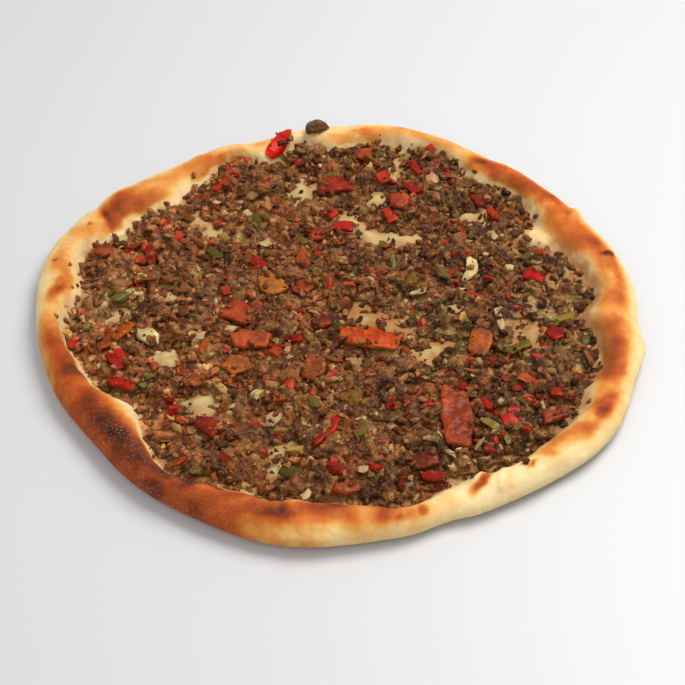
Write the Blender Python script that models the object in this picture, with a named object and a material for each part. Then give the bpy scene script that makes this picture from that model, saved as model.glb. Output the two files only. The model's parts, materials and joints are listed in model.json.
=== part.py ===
"""A minced meat pizza: a flat round bread with a puffed rim, a bed of mince, and diced vegetables on it.

Units are metres in Blender. The tables below are in millimetres and degrees, measured on the pizza seen
from above: +X to the right, +Y away from the eater, a bearing of 0 along +X and counted towards +Y.
"""

import math
import random
from collections import namedtuple

import bmesh
import bpy
from mathutils import Euler, Matrix, Vector, noise
from mathutils.bvhtree import BVHTree

MM = 0.001
SEED = 11

# --- The bread -----------------------------------------------------------------------------------------
CRUST_RADIUS = 123.0
BED_HEIGHT = 5.0  # top of the dough under the meat
RIM_HEIGHT = 12.5  # crown of the rim
BELLY_SHARE = 0.57  # how much of the rim's width lies outside its crown
BELLY_HEIGHT = 0.36  # height of the rim's widest level, as a share of the crown's
INNER_SHOULDER = 2.1  # above 1, the rim stays high at first and then drops more steeply to the meat
BEARINGS = 96  # sections round the rim
BELLY_STEPS = 5
SHOULDER_STEPS = (0.34, 0.62, 0.84, 1.0)
RIM_RELIEF = 0.8  # unevenness of the baked skin
RIM_RELIEF_SIZE = 14.0
RELIEF_FADE = 3.0  # height over the bed at which the unevenness is full

# Smooth bumps round the bread: (bearing, spread, amount in mm).
OUTLINE_BUMPS = (
    (8, 19, 6.4), (84, 18, 3.5), (112, 27, -5.2), (164, 22, 7.2), (218, 10, -2.1),
    (261, 13, 3.9), (291, 4, -2.2), (329, 18, 8.7), (349, 5, 4.0),
)
INNER_RADIUS = 107.5
INNER_WAVE = 2.4  # how far the rim's inner edge wanders, over about INNER_WAVE_SIZE
INNER_WAVE_SIZE = 9.0
# Where the dough pushes into the meat (negative) and where the meat reaches out (positive).
INNER_BUMPS = (
    (3, 9, 4), (25, 7, -6), (46, 5, 3), (52, 3, -6), (66, 8, 7), (80, 7, 4), (90, 4, -6), (97, 4, 4),
    (108, 4, -8), (116, 4, 3), (126, 6, -3), (137, 9, -10), (165, 6, 8), (175, 4, -2), (187, 8, 7),
    (217, 8, -11), (237, 6, 5), (265, 8, -2.5), (284, 8, 4), (308, 6, 4), (325, 13, 6.5), (342, 6, 4.5),
    (357, 4, -7),
)
# Higher puffs and lower pinches of the crown.
CROWN_BUMPS = (
    (20, 8, 1.0), (60, 10, -1.0), (105, 12, -1.6), (143, 6, 1.6), (156, 3, -1.8), (185, 16, 0.6),
    (225, 16, 1.4), (262, 9, 1.2), (292, 8, -1.6), (312, 9, 0.8), (336, 3, -1.4), (350, 9, 1.0),
)

# Puffs of bare dough between the meat: x, y, length, width, turn, rise above the bed.
Puff = namedtuple("Puff", "x y length width turn rise")
BED_PUFFS = (
    Puff(-16, 77, 17, 7, 88, 2.2),
    Puff(-41, 64, 10, 5, -10, 2.0),
    Puff(-60, 54, 24, 5, -40, 1.8),
    Puff(-72, 7, 14, 5, -15, 2.0),
    Puff(25.5, 91, 15, 5, 95, 2.0),
    Puff(18, 71, 10, 7, 20, 2.2),
    Puff(12, 50, 26, 5, -54, 2.0),
    Puff(30, 43, 13, 10, 0, 2.8),
    Puff(60, 59, 15, 5, -10, 2.4),
    Puff(87, 44, 20, 12, -15, 4.2),
    Puff(17, -8, 27, 8, -28, 1.8),
    Puff(40, -24, 14, 7, 15, 1.8),
    Puff(83, -14, 10, 7, 60, 1.8),
    Puff(-54, -54, 13, 6, 15, 2.2),
    Puff(-94, -7, 12, 4, 50, 1.8),
    Puff(-22, -84, 12, 4, 90, 1.6),
)
# Pinched folds and blisters on the rim: as Puff, with the rise above the crust there.
RIM_PUFFS = (
    Puff(55, -99, 15, 5, 62, 2.2),
    Puff(64, -98, 13, 4, 80, 2.0),
    Puff(106, 54, 13, 8, 66, 1.6),
    Puff(119, 28, 9, 5, 100, 1.4),
    Puff(-95.5, 43, 19, 6, -65, 3.4),
)
SUNK_SHARE = 0.55  # how far a puff's own middle lies below the surface it rises from
PUFF_FLOOR = 1.0  # dough left under a puff's lowest point

# --- The meat ------------------------------------------------------------------------------------------
SEAT_GAP = 0.3  # air between touching pieces
CORE_TOP = 7.4  # top of the pressed meat, which larger toppings lie on
CRUMB_PITCH = 4.15  # spacing of the lattice that the crumbs follow
CRUMB_RISE = (1.3, 3.4)
HOLLOW_RISE = (0.0, 0.8)
CLUMP_RISE = 1.0
CLUMP_SIZE = 22.0
EDGE_RISE = -0.9  # the meat thins at its outline
RIM_CLEARANCE = 0.8
PATCH_CLEARANCE = 1.6
LOOSE_CRUMBS = 64
LOOSE_CRUMB_RADIUS = (1.9, 3.1)
LOOSE_CRUMB_SPACING = 8.5
LOOSE_CRUMB_STRETCH = (0.8, 1.25)
LOOSE_CRUMB_FLATNESS = 0.75
LOOSE_CRUMB_TILT = 25
LOOSE_CRUMB_LIFT = 0.5  # height of a crumb's middle over the pressed meat, as a share of its radius
LOOSE_CRUMB_CLEARANCE = 1.35  # room that a crumb keeps round itself, as a share of its radius
LATTICE_JITTER = 0.22  # as a share of the pitch
LATTICE_REACH = 2.3  # rows of the skewed lattice that cover the meat, as a share of its radius
LONGEST_LOBE = 15  # no meat lies further than this outside INNER_RADIUS
LEAST_CLUMP = -0.4
TOPPING_MARGIN = 0.6  # the meat stays flat this far round a topping
BRIDGE_SLACK = 0.4  # how far a triangle of meat may reach over bare dough
NEARBY = 50  # a topping further off than this doesn't matter to a point

# --- The toppings --------------------------------------------------------------------------------------
# x, y, length, width, thickness, turn, bend: bend is how far a strip curls over its own length.
Topping = namedtuple("Topping", "name x y length width thick turn bend corners")
TOPPINGS = (
    Topping("amber_slice", 14, -22, 28, 14, 2.3, -7, 0, 6),
    Topping("tomato_long", 48, -66, 30, 15, 2.3, 84, 0, 6),
    Topping("tomato_back", 1, 77, 20, 12, 2.4, 8, 0, 4),
    Topping("tomato_left_upper", -40.5, -5.5, 14, 11.5, 2.4, -30, 0, 4),
    Topping("tomato_left_lower", -35, -21, 21, 12, 2.3, -6, 0, 5),
    Topping("amber_brown", -40, -36, 13, 10, 2.1, 10, 0, 5),
    Topping("amber_small", -57, -45, 10, 9, 2.0, 0, 0, 5),
    Topping("amber_pink", -8.5, -38, 13, 12, 2.1, 70, 0, 6),
    Topping("tomato_front", 33, -87.5, 14, 9, 2.2, 15, 0, 5),
    Topping("amber_right", 60, -23, 16, 12, 2.2, 70, 0, 6),
    Topping("tomato_deep", -50, -69, 13, 8, 2.1, -48, 0, 5),
    Topping("tomato_edge", 5, -101, 10, 7, 2.0, 5, 0, 6),
    Topping("tomato_rear", 12.5, 100, 9, 9, 2.1, 0, 0, 5),
    Topping("tomato_side", 29, 67, 12, 11, 2.3, 40, 0, 5),
    Topping("tomato_middle", -8.5, 44, 11, 8, 2.2, -10, 0, 5),
    Topping("amber_gold", -27, 12, 15, 12, 2.0, -55, 0, 6),
    Topping("amber_gold_small", -13, 11, 10, 8, 1.9, -30, 0, 5),
    Topping("tomato_corner", -101.5, 33, 9, 8, 1.9, 30, 0, 5),
    Topping("tomato_dark", 88, -63.5, 13, 6, 2.0, 28, 0, 4),
    Topping("tomato_skin", -5, -12, 9, 7, 1.9, 20, 0, 4),
    Topping("pepper_curl_back", -2, 58, 9, 6, 1.9, -50, 20, 4),
    Topping("pepper_curl_front", 3.5, 49, 9, 7, 1.9, -18, 20, 4),
    Topping("pepper_right", 87, 17, 11, 9, 1.9, -14, 0, 4),
    Topping("pepper_round", 91, -18, 9, 8, 1.9, 0, 0, 5),
    Topping("pepper_left_upper", -89, -34, 12, 10, 1.9, -62, 10, 4),
    Topping("pepper_left_lower", -86, -46, 14, 7, 1.9, -30, 10, 5),
    Topping("pepper_strip_front", -3, -72, 19, 6, 1.9, 57, 15, 6),
    Topping("pepper_edge", 37.5, -94.8, 11, 5.5, 1.9, -22, 0, 5),
    Topping("pepper_rear", 22, 83, 9, 7, 1.9, -60, 0, 4),
    Topping("amber_back", -52, 76, 10, 8, 1.9, 20, 0, 5),
    Topping("pepper_sliver", -16, -21, 10, 4, 1.7, 0, 0, 4),
    Topping("pepper_side", 24, 57, 9, 6, 1.9, -60, 0, 4),
    Topping("pepper_low_right", 92, -52, 10, 6, 1.9, -15, 0, 4),
    Topping("pepper_rear_right", 64, 67, 9, 5, 1.7, -60, 0, 4),
    Topping("pepper_far", 37, 90, 10, 5, 1.7, -60, 0, 4),
    Topping("pepper_left", -80, 30, 14, 5, 1.7, 102, 20, 6),
    Topping("amber_strip", -91, -20, 20, 6, 1.9, 50, 15, 6),
    Topping("amber_thin", -14, 27, 12, 5, 1.7, 105, 0, 5),
    Topping("chilli_ring", 74, -26, 18, 5, 1.9, 20, 120, 9),
    Topping("chilli_front", -17, -93, 9, 8, 1.9, 0, 0, 5),
    Topping("chilli_rear", 20, 99.5, 8, 3.5, 1.9, 95, 0, 5),
    Topping("chilli_middle", 33, 15, 10, 6, 1.7, 70, 20, 5),
    Topping("chilli_pale", 7, -54, 9, 8, 1.9, 0, 0, 6),
    Topping("chilli_strip", 23, -65, 10, 4, 1.7, 30, 20, 5),
    Topping("onion_slice", -77, -20, 14, 8, 2.1, -52, 0, 8),
    Topping("onion_curl", 58, 21, 16, 5, 1.9, 75, 70, 9),
    Topping("onion_sliver_back", 37, 7.5, 11, 3.4, 1.5, 22, 10, 6),
    Topping("onion_sliver_right", 69, -10, 14, 3.4, 1.5, 98, 0, 6),
    Topping("onion_left", -85, 7, 8, 5, 1.7, -12, 0, 6),
    Topping("onion_strip", -45, -49, 13, 4, 1.6, -48, 15, 6),
    Topping("onion_pale", -24, -66, 9, 7, 1.7, 80, 0, 6),
)
RIM_TOPPINGS = (
    Topping("pepper_rim", -26, 106.5, 21, 8, 1.8, 64, 8, 0),
    Topping("meat_clump", -9, 114.5, 11, 8, 5.0, 20, 0, 0),
)
RIM_STATIONS = 7  # sections along a piece that is draped over the rim
RIM_TAPER = 0.85  # how much such a piece narrows to its ends
CORNER_JITTER = 0.13  # unevenness of a topping's corners, as a share of its half width
CORNER_SWING = 0.16  # the same along its outline, as a share of the way to the next corner
DICE_CORNERS = 6  # a topping with no more corners than this is cut square, and one with more is an oval
DICE_SQUARENESS = 9.0
OVAL_SQUARENESS = 2.4
TOP_INSET = 0.93  # a topping's top face, as a share of its outline
FOOT_INSET = 0.92
WAIST_HEIGHT = 0.45  # height of a topping's widest level, as a share of its thickness
LEAN = 4.5  # the most that a topping leans, in degrees
STRONG_BEND = 60  # a strip that curls more than this keeps its outline, so that its ends stay ends
RIM_SEAT_GAP = 0.5
RIM_REACH = 1.4  # how far round each point the crust is felt for, in RIM_FEELERS directions
RIM_FEELERS = 8
# The section of a piece on the rim: share of its half width, and share of its thickness.
RIM_PIECE_SECTION = ((0, 0), (-0.8, 0), (-1.0, 0.4), (-0.6, 1.0), (0.6, 1.0), (1.0, 0.4), (0.8, 0))

# --- Colours: red, green, blue, roughness ----------------------------------------------------------------
FINISHES = {
    "crust": (0.70, 0.42, 0.17, 0.65),
    "meat": (0.16, 0.08, 0.045, 0.55),
    "tomato": (0.52, 0.062, 0.027, 0.30),
    "amber": (0.66, 0.16, 0.03, 0.30),
    "pepper": (0.56, 0.016, 0.010, 0.25),
    "chilli": (0.19, 0.22, 0.02, 0.30),
    "onion": (0.75, 0.64, 0.31, 0.35),
}


def bumps_at(bearing, bumps):
    """The sum of smooth bumps at a bearing, both in degrees, in the bumps' own unit."""
    total = 0.0
    for centre, spread, amount in bumps:
        apart = (bearing - centre + 180) % 360 - 180
        total += amount * math.exp(-((apart / spread) ** 2))
    return total


def outer_radius(bearing):
    return CRUST_RADIUS + bumps_at(bearing, OUTLINE_BUMPS)


def inner_radius(bearing):
    angle = math.radians(bearing)
    place = Vector((math.cos(angle), math.sin(angle), 0)) * INNER_RADIUS / INNER_WAVE_SIZE
    return INNER_RADIUS + bumps_at(bearing, INNER_BUMPS) + INNER_WAVE * noise.noise(place)


def crown_height(bearing):
    return RIM_HEIGHT + bumps_at(bearing, CROWN_BUMPS)


def shoulder(share):
    """Height left above the bed, from 1 at the crown to 0 at the meat, at a share of the way inwards."""
    return 1 - share**INNER_SHOULDER


def rim_section(bearing):
    """The rim's section at a bearing, from the flat foot, round the belly and over the crown to the bed."""
    outer, inner, height = outer_radius(bearing), inner_radius(bearing), crown_height(bearing)
    belly = BELLY_SHARE * (outer - inner)
    crown = outer - belly
    waist = BELLY_HEIGHT * height
    section = []
    for step in range(BELLY_STEPS + 1):
        angle = math.pi * (step / BELLY_STEPS - 0.5)
        reach = waist if angle < 0 else height - waist
        section.append((crown + belly * math.cos(angle), waist + reach * math.sin(angle)))
    for share in SHOULDER_STEPS:
        fall = BED_HEIGHT + (height - BED_HEIGHT) * shoulder(share)
        section.append((crown + (inner - crown) * share, fall))
    return section


def relief_at(x, y, z):
    """Unevenness of the baked skin, which fades out on the flat foot and on the bed."""
    fade = min(1.0, max(0.0, (z - BED_HEIGHT) / RELIEF_FADE))
    return fade * RIM_RELIEF * noise.noise(Vector((x, y, z)) / RIM_RELIEF_SIZE)


def crust_height(x, y):
    """Height of the crust's upper surface at a point, before its puffs are fused on, in millimetres."""
    bearing, radius = math.degrees(math.atan2(y, x)), math.hypot(x, y)
    outer, inner, height = outer_radius(bearing), inner_radius(bearing), crown_height(bearing)
    crown = outer - BELLY_SHARE * (outer - inner)
    if radius <= inner:
        return BED_HEIGHT
    if radius <= crown:
        surface = BED_HEIGHT + (height - BED_HEIGHT) * shoulder((crown - radius) / (crown - inner))
    else:
        waist = BELLY_HEIGHT * height
        out = min(1.0, (radius - crown) / (outer - crown))
        surface = waist + (height - waist) * math.sqrt(1 - out * out)
    return surface + relief_at(x, y, surface)


def new_object(name, mesh, collection):
    obj = bpy.data.objects.new(name, mesh)
    collection.objects.link(obj)
    return obj


def mesh_from(bm, name):
    bmesh.ops.recalc_face_normals(bm, faces=bm.faces)
    mesh = bpy.data.meshes.new(name)
    bm.to_mesh(mesh)
    bm.free()
    return mesh


def finish(obj, slot, smooth_angle=40):
    """Gives an object the material of its slot and rounds its shading."""
    material = bpy.data.materials.get(slot)
    if material is None:
        material = bpy.data.materials.new(slot)
        material.use_nodes = True
        red, green, blue, roughness = FINISHES[slot]
        shader = material.node_tree.nodes["Principled BSDF"]
        shader.inputs["Base Color"].default_value = (red, green, blue, 1)
        shader.inputs["Roughness"].default_value = roughness
        shader.inputs["Metallic"].default_value = 0
        material.diffuse_color = (red, green, blue, 1)
    obj.data.materials.clear()
    obj.data.materials.append(material)
    obj.data.shade_smooth()
    obj.data.set_sharp_from_angle(angle=math.radians(smooth_angle))


def join_all(body, others):
    """Fuses a collection's objects into body with one Boolean union, applies it and removes them."""
    union = body.modifiers.new("fused", "BOOLEAN")
    union.operation = "UNION"
    union.operand_type = "COLLECTION"
    union.collection = others
    union.solver = "MANIFOLD"
    bpy.context.view_layer.update()
    graph = bpy.context.evaluated_depsgraph_get()
    joined = bpy.data.meshes.new_from_object(body.evaluated_get(graph))
    body.modifiers.clear()
    body.data = joined
    for obj in list(others.objects):
        bpy.data.objects.remove(obj)
    bpy.data.collections.remove(others)


def helper_collection(name):
    collection = bpy.data.collections.new(name)
    bpy.context.scene.collection.children.link(collection)
    return collection


def lump(name, collection, place, size, turn=0.0, subdivisions=2, tilt=(0.0, 0.0)):
    """A squashed ball: place and size (half axes) in millimetres, angles in degrees."""
    bpy.ops.mesh.primitive_ico_sphere_add(subdivisions=subdivisions, radius=1)
    obj = bpy.context.active_object
    obj.name = name
    for owner in obj.users_collection:
        owner.objects.unlink(obj)
    collection.objects.link(obj)
    turned = Euler([math.radians(a) for a in (*tilt, turn)]).to_matrix().to_4x4()
    scaled = Matrix.Diagonal([s * MM for s in size] + [1])
    obj.data.transform(Matrix.Translation(Vector(place) * MM) @ turned @ scaled)
    return obj


def build_crust(collection):
    """The bread: a loft of rim sections, a flat bed and foot, and the puffs and folds fused on."""
    bm = bmesh.new()
    rings = []
    for step in range(BEARINGS):
        bearing = 360 * step / BEARINGS
        east, north = math.cos(math.radians(bearing)), math.sin(math.radians(bearing))
        ring = []
        for radius, height in rim_section(bearing):
            x, y = radius * east, radius * north
            ring.append(bm.verts.new(Vector((x, y, height + relief_at(x, y, height))) * MM))
        rings.append(ring)
    for step, ring in enumerate(rings):
        following = rings[(step + 1) % BEARINGS]
        for level in range(len(ring) - 1):
            bm.faces.new((ring[level], following[level], following[level + 1], ring[level + 1]))
    bm.faces.new([ring[0] for ring in rings])
    bm.faces.new([ring[-1] for ring in rings])
    crust = new_object("crust", mesh_from(bm, "crust"), collection)

    puffs = helper_collection("dough puffs")
    for number, puff in enumerate(BED_PUFFS + RIM_PUFFS):
        surface = crust_height(puff.x, puff.y)
        half_height = min(puff.rise / (1 - SUNK_SHARE), (surface + puff.rise - PUFF_FLOOR) / 2)
        middle = surface + puff.rise - half_height
        size = (puff.length / 2, puff.width / 2, half_height)
        lump(f"puff_{number}", puffs, (puff.x, puff.y, middle), size, puff.turn)
    join_all(crust, puffs)
    finish(crust, "crust", smooth_angle=60)
    return crust


def in_oval(x, y, centre_x, centre_y, length, width, turn, margin):
    """Whether a point lies in an oval grown by a margin."""
    angle = math.radians(-turn)
    dx, dy = x - centre_x, y - centre_y
    along = dx * math.cos(angle) - dy * math.sin(angle)
    across = dx * math.sin(angle) + dy * math.cos(angle)
    return (along / (length / 2 + margin)) ** 2 + (across / (width / 2 + margin)) ** 2 < 1


def has_meat(x, y, slack=0.0):
    """Whether meat lies at a point: inside the rim and clear of the bare dough, less a slack."""
    bearing = math.degrees(math.atan2(y, x))
    if math.hypot(x, y) > inner_radius(bearing) - RIM_CLEARANCE + slack:
        return False
    return not any(
        in_oval(x, y, puff.x, puff.y, puff.length, puff.width, puff.turn, PATCH_CLEARANCE - slack)
        for puff in BED_PUFFS + RIM_PUFFS
    )


def outline_of(topping):
    """A topping's corners about its own middle, in millimetres: uneven dice and ovals, bent if they curl."""
    draw = random.Random(f"{SEED} {topping.name}")
    squareness = DICE_SQUARENESS if topping.corners <= DICE_CORNERS else OVAL_SQUARENESS
    points = []
    for corner in range(topping.corners):
        angle = 2 * math.pi * (corner + 0.5 + draw.uniform(-CORNER_SWING, CORNER_SWING)) / topping.corners
        east, north = math.cos(angle), math.sin(angle)
        reach = 1 + draw.uniform(-1, 1) * CORNER_JITTER
        reach /= (abs(east) ** squareness + abs(north) ** squareness) ** (1 / squareness)
        points.append(bent(topping.length / 2 * reach * east, topping.width / 2 * reach * north, topping))
    return points


def bent(along, across, topping):
    """Carries a point of a straight strip onto an arc that turns by topping.bend over its length."""
    if not topping.bend:
        return along, across
    radius = topping.length / math.radians(topping.bend)
    angle = along / radius
    lift = radius * (1 - math.cos(math.radians(topping.bend) / 2)) / 2
    return (radius - across) * math.sin(angle), radius - (radius - across) * math.cos(angle) - lift


def on_pizza(topping, px, py):
    """Carries a point from a topping's own plane to its place on the pizza."""
    angle = math.radians(topping.turn)
    x = topping.x + px * math.cos(angle) - py * math.sin(angle)
    y = topping.y + px * math.sin(angle) + py * math.cos(angle)
    return x, y


def footprint(topping):
    return [on_pizza(topping, px, py) for px, py in outline_of(topping)]


def gap_to(x, y, corners):
    """Distance from a point to a footprint, and 0 inside it."""
    inside, nearest = False, math.inf
    for (ax, ay), (bx, by) in zip(corners, corners[1:] + corners[:1]):
        if (ay > y) != (by > y) and x < ax + (bx - ax) * (y - ay) / (by - ay):
            inside = not inside
        share = ((x - ax) * (bx - ax) + (y - ay) * (by - ay)) / ((bx - ax) ** 2 + (by - ay) ** 2)
        share = min(1.0, max(0.0, share))
        nearest = min(nearest, math.hypot(x - ax - share * (bx - ax), y - ay - share * (by - ay)))
    return 0.0 if inside else nearest


def gap_to_toppings(x, y, footprints):
    """Distance to the nearest footprint, or a large number when none has a corner nearby."""
    near = [c for c in footprints if abs(c[0][0] - x) + abs(c[0][1] - y) < NEARBY]
    return min((gap_to(x, y, corners) for corners in near), default=math.inf)


def covered(corners):
    """Whether the middles of a triangle's sides lie on meat too, so that it doesn't bridge bare dough."""
    sides = zip(corners, corners[1:] + corners[:1])
    return all(has_meat((a.x + b.x) / 2, (a.y + b.y) / 2, BRIDGE_SLACK) for a, b in sides)


def keep_one_sheet(bm):
    """Leaves one sheet of faces that never meet at a point only, so that it can be given a thickness."""
    while True:
        pinched = [v for v in bm.verts if sum(e.is_boundary for e in v.link_edges) > 2]
        if not pinched:
            break
        bmesh.ops.delete(bm, geom=pinched, context="VERTS")
        loose = [v for v in bm.verts if not v.link_faces]
        bmesh.ops.delete(bm, geom=loose, context="VERTS")
    unseen, sheets = set(bm.faces), []
    while unseen:
        front, sheet = [unseen.pop()], []
        while front:
            face = front.pop()
            sheet.append(face)
            near = {f for e in face.edges for f in e.link_faces} & unseen
            unseen -= near
            front.extend(near)
        sheets.append(sheet)
    largest = max(sheets, key=len)
    scraps = [f for sheet in sheets if sheet is not largest for f in sheet]
    bmesh.ops.delete(bm, geom=scraps, context="FACES")


def meat_sheet(footprints):
    """The meat's flat lattice of triangles, the rise of its top at each vertex, and its inner points."""
    draw = random.Random(SEED)
    bm = bmesh.new()
    reach = int(LATTICE_REACH * INNER_RADIUS / CRUMB_PITCH)
    grid, rise = {}, {}
    for row in range(-reach, reach + 1):
        for column in range(-reach, reach + 1):
            x = CRUMB_PITCH * (column + row / 2 + draw.uniform(-1, 1) * LATTICE_JITTER)
            y = CRUMB_PITCH * (row * math.sqrt(0.75) + draw.uniform(-1, 1) * LATTICE_JITTER)
            high = (column - row) % 3 == 0
            height = draw.uniform(*(CRUMB_RISE if high else HOLLOW_RISE))
            if math.hypot(x, y) > INNER_RADIUS + LONGEST_LOBE or not has_meat(x, y):
                continue
            vert = bm.verts.new((x * MM, y * MM, (BED_HEIGHT + SEAT_GAP) * MM))
            clump = CLUMP_RISE * noise.noise(Vector((x, y, 0)) / CLUMP_SIZE)
            grid[column, row] = vert
            rise[vert] = height + max(LEAST_CLUMP, clump)
    for (column, row), corner in list(grid.items()):
        right, up = grid.get((column + 1, row)), grid.get((column, row + 1))
        across = grid.get((column + 1, row + 1))
        for corners in ((corner, right, up), (right, across, up)):
            if all(corners) and covered([v.co / MM for v in corners]):
                bm.faces.new(corners)
    keep_one_sheet(bm)
    bmesh.ops.delete(bm, geom=[v for v in bm.verts if not v.link_faces], context="VERTS")
    for face in bm.faces:
        middle = face.calc_center_median() / MM
        spots = [middle] + [v.co / MM for v in face.verts]
        spots += [(a + b) / 2 for a, b in zip(spots[1:], spots[2:] + spots[1:2])]
        if any(gap_to_toppings(spot.x, spot.y, footprints) < TOPPING_MARGIN for spot in spots):
            for vert in face.verts:
                rise[vert] = 0.0
    edge = {v for v in bm.verts if any(e.is_boundary for e in v.link_edges)}
    for vert in edge:
        rise[vert] = min(rise[vert], 0.0) + EDGE_RISE
    whole = [v for v in bm.verts if not any(e.other_vert(v) in edge for e in v.link_edges)]
    seats = [(v.co.x / MM, v.co.y / MM) for v in whole if v not in edge]
    return bm, rise, seats


def thicken(bm, rise):
    """Closes the flat sheet into a solid: one flat face below, and the crumbs' relief above."""
    heights = {(v.co.x, v.co.y): CORE_TOP + rise[v] for v in bm.verts}
    inner = [e for e in bm.edges if not e.is_boundary]
    under = list(bm.faces)
    made = bmesh.ops.extrude_face_region(bm, geom=under, use_keep_orig=True)
    for item in made["geom"]:
        if isinstance(item, bmesh.types.BMVert):
            item.co.z = heights[item.co.x, item.co.y] * MM
    bmesh.ops.dissolve_limit(bm, angle_limit=math.radians(0.5), verts=[], edges=inner)


def build_meat(collection):
    """The bed of minced meat: a thin sheet with crumb-sized bumps, and larger crumbs fused on."""
    footprints = [footprint(t) for t in TOPPINGS]
    bm, rise, seats = meat_sheet(footprints)
    thicken(bm, rise)
    meat = new_object("meat", mesh_from(bm, "meat"), collection)

    crumbs = helper_collection("loose crumbs")
    draw = random.Random(SEED + 1)
    draw.shuffle(seats)
    placed = []
    for x, y in seats:
        radius = draw.uniform(*LOOSE_CRUMB_RADIUS)
        crowded = any(math.hypot(x - px, y - py) < LOOSE_CRUMB_SPACING for px, py in placed)
        if crowded or gap_to_toppings(x, y, footprints) < LOOSE_CRUMB_CLEARANCE * radius + SEAT_GAP:
            continue
        placed.append((x, y))
        size = [radius * draw.uniform(*LOOSE_CRUMB_STRETCH) for _ in "xy"] + [radius * LOOSE_CRUMB_FLATNESS]
        tilt = [draw.uniform(-LOOSE_CRUMB_TILT, LOOSE_CRUMB_TILT) for _ in "xy"]
        place = (x, y, CORE_TOP + LOOSE_CRUMB_LIFT * radius)
        lump(f"crumb_{len(placed)}", crumbs, place, size, draw.uniform(0, 180), 1, tilt)
        if len(placed) == LOOSE_CRUMBS:
            break
    join_all(meat, crumbs)
    finish(meat, "meat", smooth_angle=25)
    return meat


def loft(name, rings, collection):
    """Joins rings of points, in millimetres, into a closed piece with flat ends."""
    bm = bmesh.new()
    rings = [[bm.verts.new(Vector(point) * MM) for point in ring] for ring in rings]
    for below, above in zip(rings, rings[1:]):
        for i in range(len(below)):
            j = (i + 1) % len(below)
            bm.faces.new((below[i], below[j], above[j], above[i]))
    bm.faces.new(rings[0])
    bm.faces.new(rings[-1])
    return new_object(name, mesh_from(bm, name), collection)


def build_topping(topping, collection):
    """One piece of vegetable: an uneven slab with a rounded edge, leaning a little on the meat."""
    outline = outline_of(topping)
    middle_x = sum(px for px, _ in outline) / len(outline)
    middle_y = sum(py for _, py in outline) / len(outline)
    rings = []
    for inset, level in ((FOOT_INSET, 0.0), (1.0, WAIST_HEIGHT), (TOP_INSET, 1.0)):
        if topping.bend > STRONG_BEND:
            inset = 1.0
        rings.append([
            (middle_x + (px - middle_x) * inset, middle_y + (py - middle_y) * inset, level * topping.thick)
            for px, py in outline
        ])
    piece = loft(topping.name, rings, collection)
    draw = random.Random(f"{SEED} {topping.name} lean")
    heading, lean = draw.uniform(0, 2 * math.pi), math.radians(LEAN) * draw.random()
    normal = Vector((math.sin(lean) * math.cos(heading), math.sin(lean) * math.sin(heading), math.cos(lean)))
    upright = Vector((0, 0, 1)).rotation_difference(normal)
    piece.rotation_euler = (upright @ Euler((0, 0, math.radians(topping.turn))).to_quaternion()).to_euler()
    lift = SEAT_GAP + topping.length / 2 * math.sin(lean)
    piece.location = Vector((topping.x, topping.y, CORE_TOP + lift)) * MM
    finish(piece, topping.name.split("_")[0])


def seat_on(surface, x, y):
    """The highest crust close to a point, in millimetres: a stiff piece bridges the steep spots."""
    spots = [(x, y)]
    for step in range(RIM_FEELERS):
        angle = 2 * math.pi * step / RIM_FEELERS
        spots.append((x + RIM_REACH * math.cos(angle), y + RIM_REACH * math.sin(angle)))
    hits = [surface.ray_cast(Vector((*spot, 2 * RIM_HEIGHT)) * MM, Vector((0, 0, -1)))[0] for spot in spots]
    return max(hit.z for hit in hits if hit) / MM


def build_rim_topping(topping, crust, collection):
    """A piece draped over the rim: sections along its length, each following the crust below it."""
    surface = BVHTree.FromPolygons(
        [v.co.copy() for v in crust.data.vertices], [list(p.vertices) for p in crust.data.polygons]
    )
    rings = []
    for station in range(RIM_STATIONS):
        along = 2 * station / (RIM_STATIONS - 1) - 1
        fullness = math.sqrt(1 - RIM_TAPER * along**2)
        ring = []
        for across, level in RIM_PIECE_SECTION:
            px, py = bent(along * topping.length / 2, across * fullness * topping.width / 2, topping)
            x, y = on_pizza(topping, px, py)
            ring.append((x, y, seat_on(surface, x, y) + RIM_SEAT_GAP + level * fullness * topping.thick))
        rings.append(ring)
    piece = loft(topping.name, rings, collection)
    finish(piece, topping.name.split("_")[0])


def centre(objects):
    """Moves the whole pizza so that the origin is the middle of its outline, on its underside."""
    bpy.context.view_layer.update()
    points = [obj.matrix_world @ v.co for obj in objects for v in obj.data.vertices]
    middle_x = (min(p.x for p in points) + max(p.x for p in points)) / 2
    middle_y = (min(p.y for p in points) + max(p.y for p in points)) / 2
    for obj in objects:
        obj.location -= Vector((middle_x, middle_y, 0))


def main():
    for obj in list(bpy.data.objects):
        bpy.data.objects.remove(obj)
    noise.seed_set(SEED)
    pizza = bpy.data.collections.new("minced meat pizza")
    bpy.context.scene.collection.children.link(pizza)
    crust = build_crust(pizza)
    build_meat(pizza)
    for topping in TOPPINGS:
        build_topping(topping, pizza)
    for topping in RIM_TOPPINGS:
        build_rim_topping(topping, crust, pizza)
    centre(pizza.objects)


main()
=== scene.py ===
# %% [markdown]
# # A minced meat pizza
# This lesson dresses a plain model of a pizza. The plain model is the *frame*: closed, coarse solids for
# the bread, the bed of mince and each larger piece of vegetable. Around it we build what the eye wants to
# see: a baked skin, knobbly crumbs, wet tomato. The frame fixes every size and place, so nothing here is
# guessed.

import json
import math
import random

import bmesh
import bpy
import numpy as np
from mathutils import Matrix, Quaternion, Vector, noise
from mathutils.bvhtree import BVHTree
from mathutils.kdtree import KDTree


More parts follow.
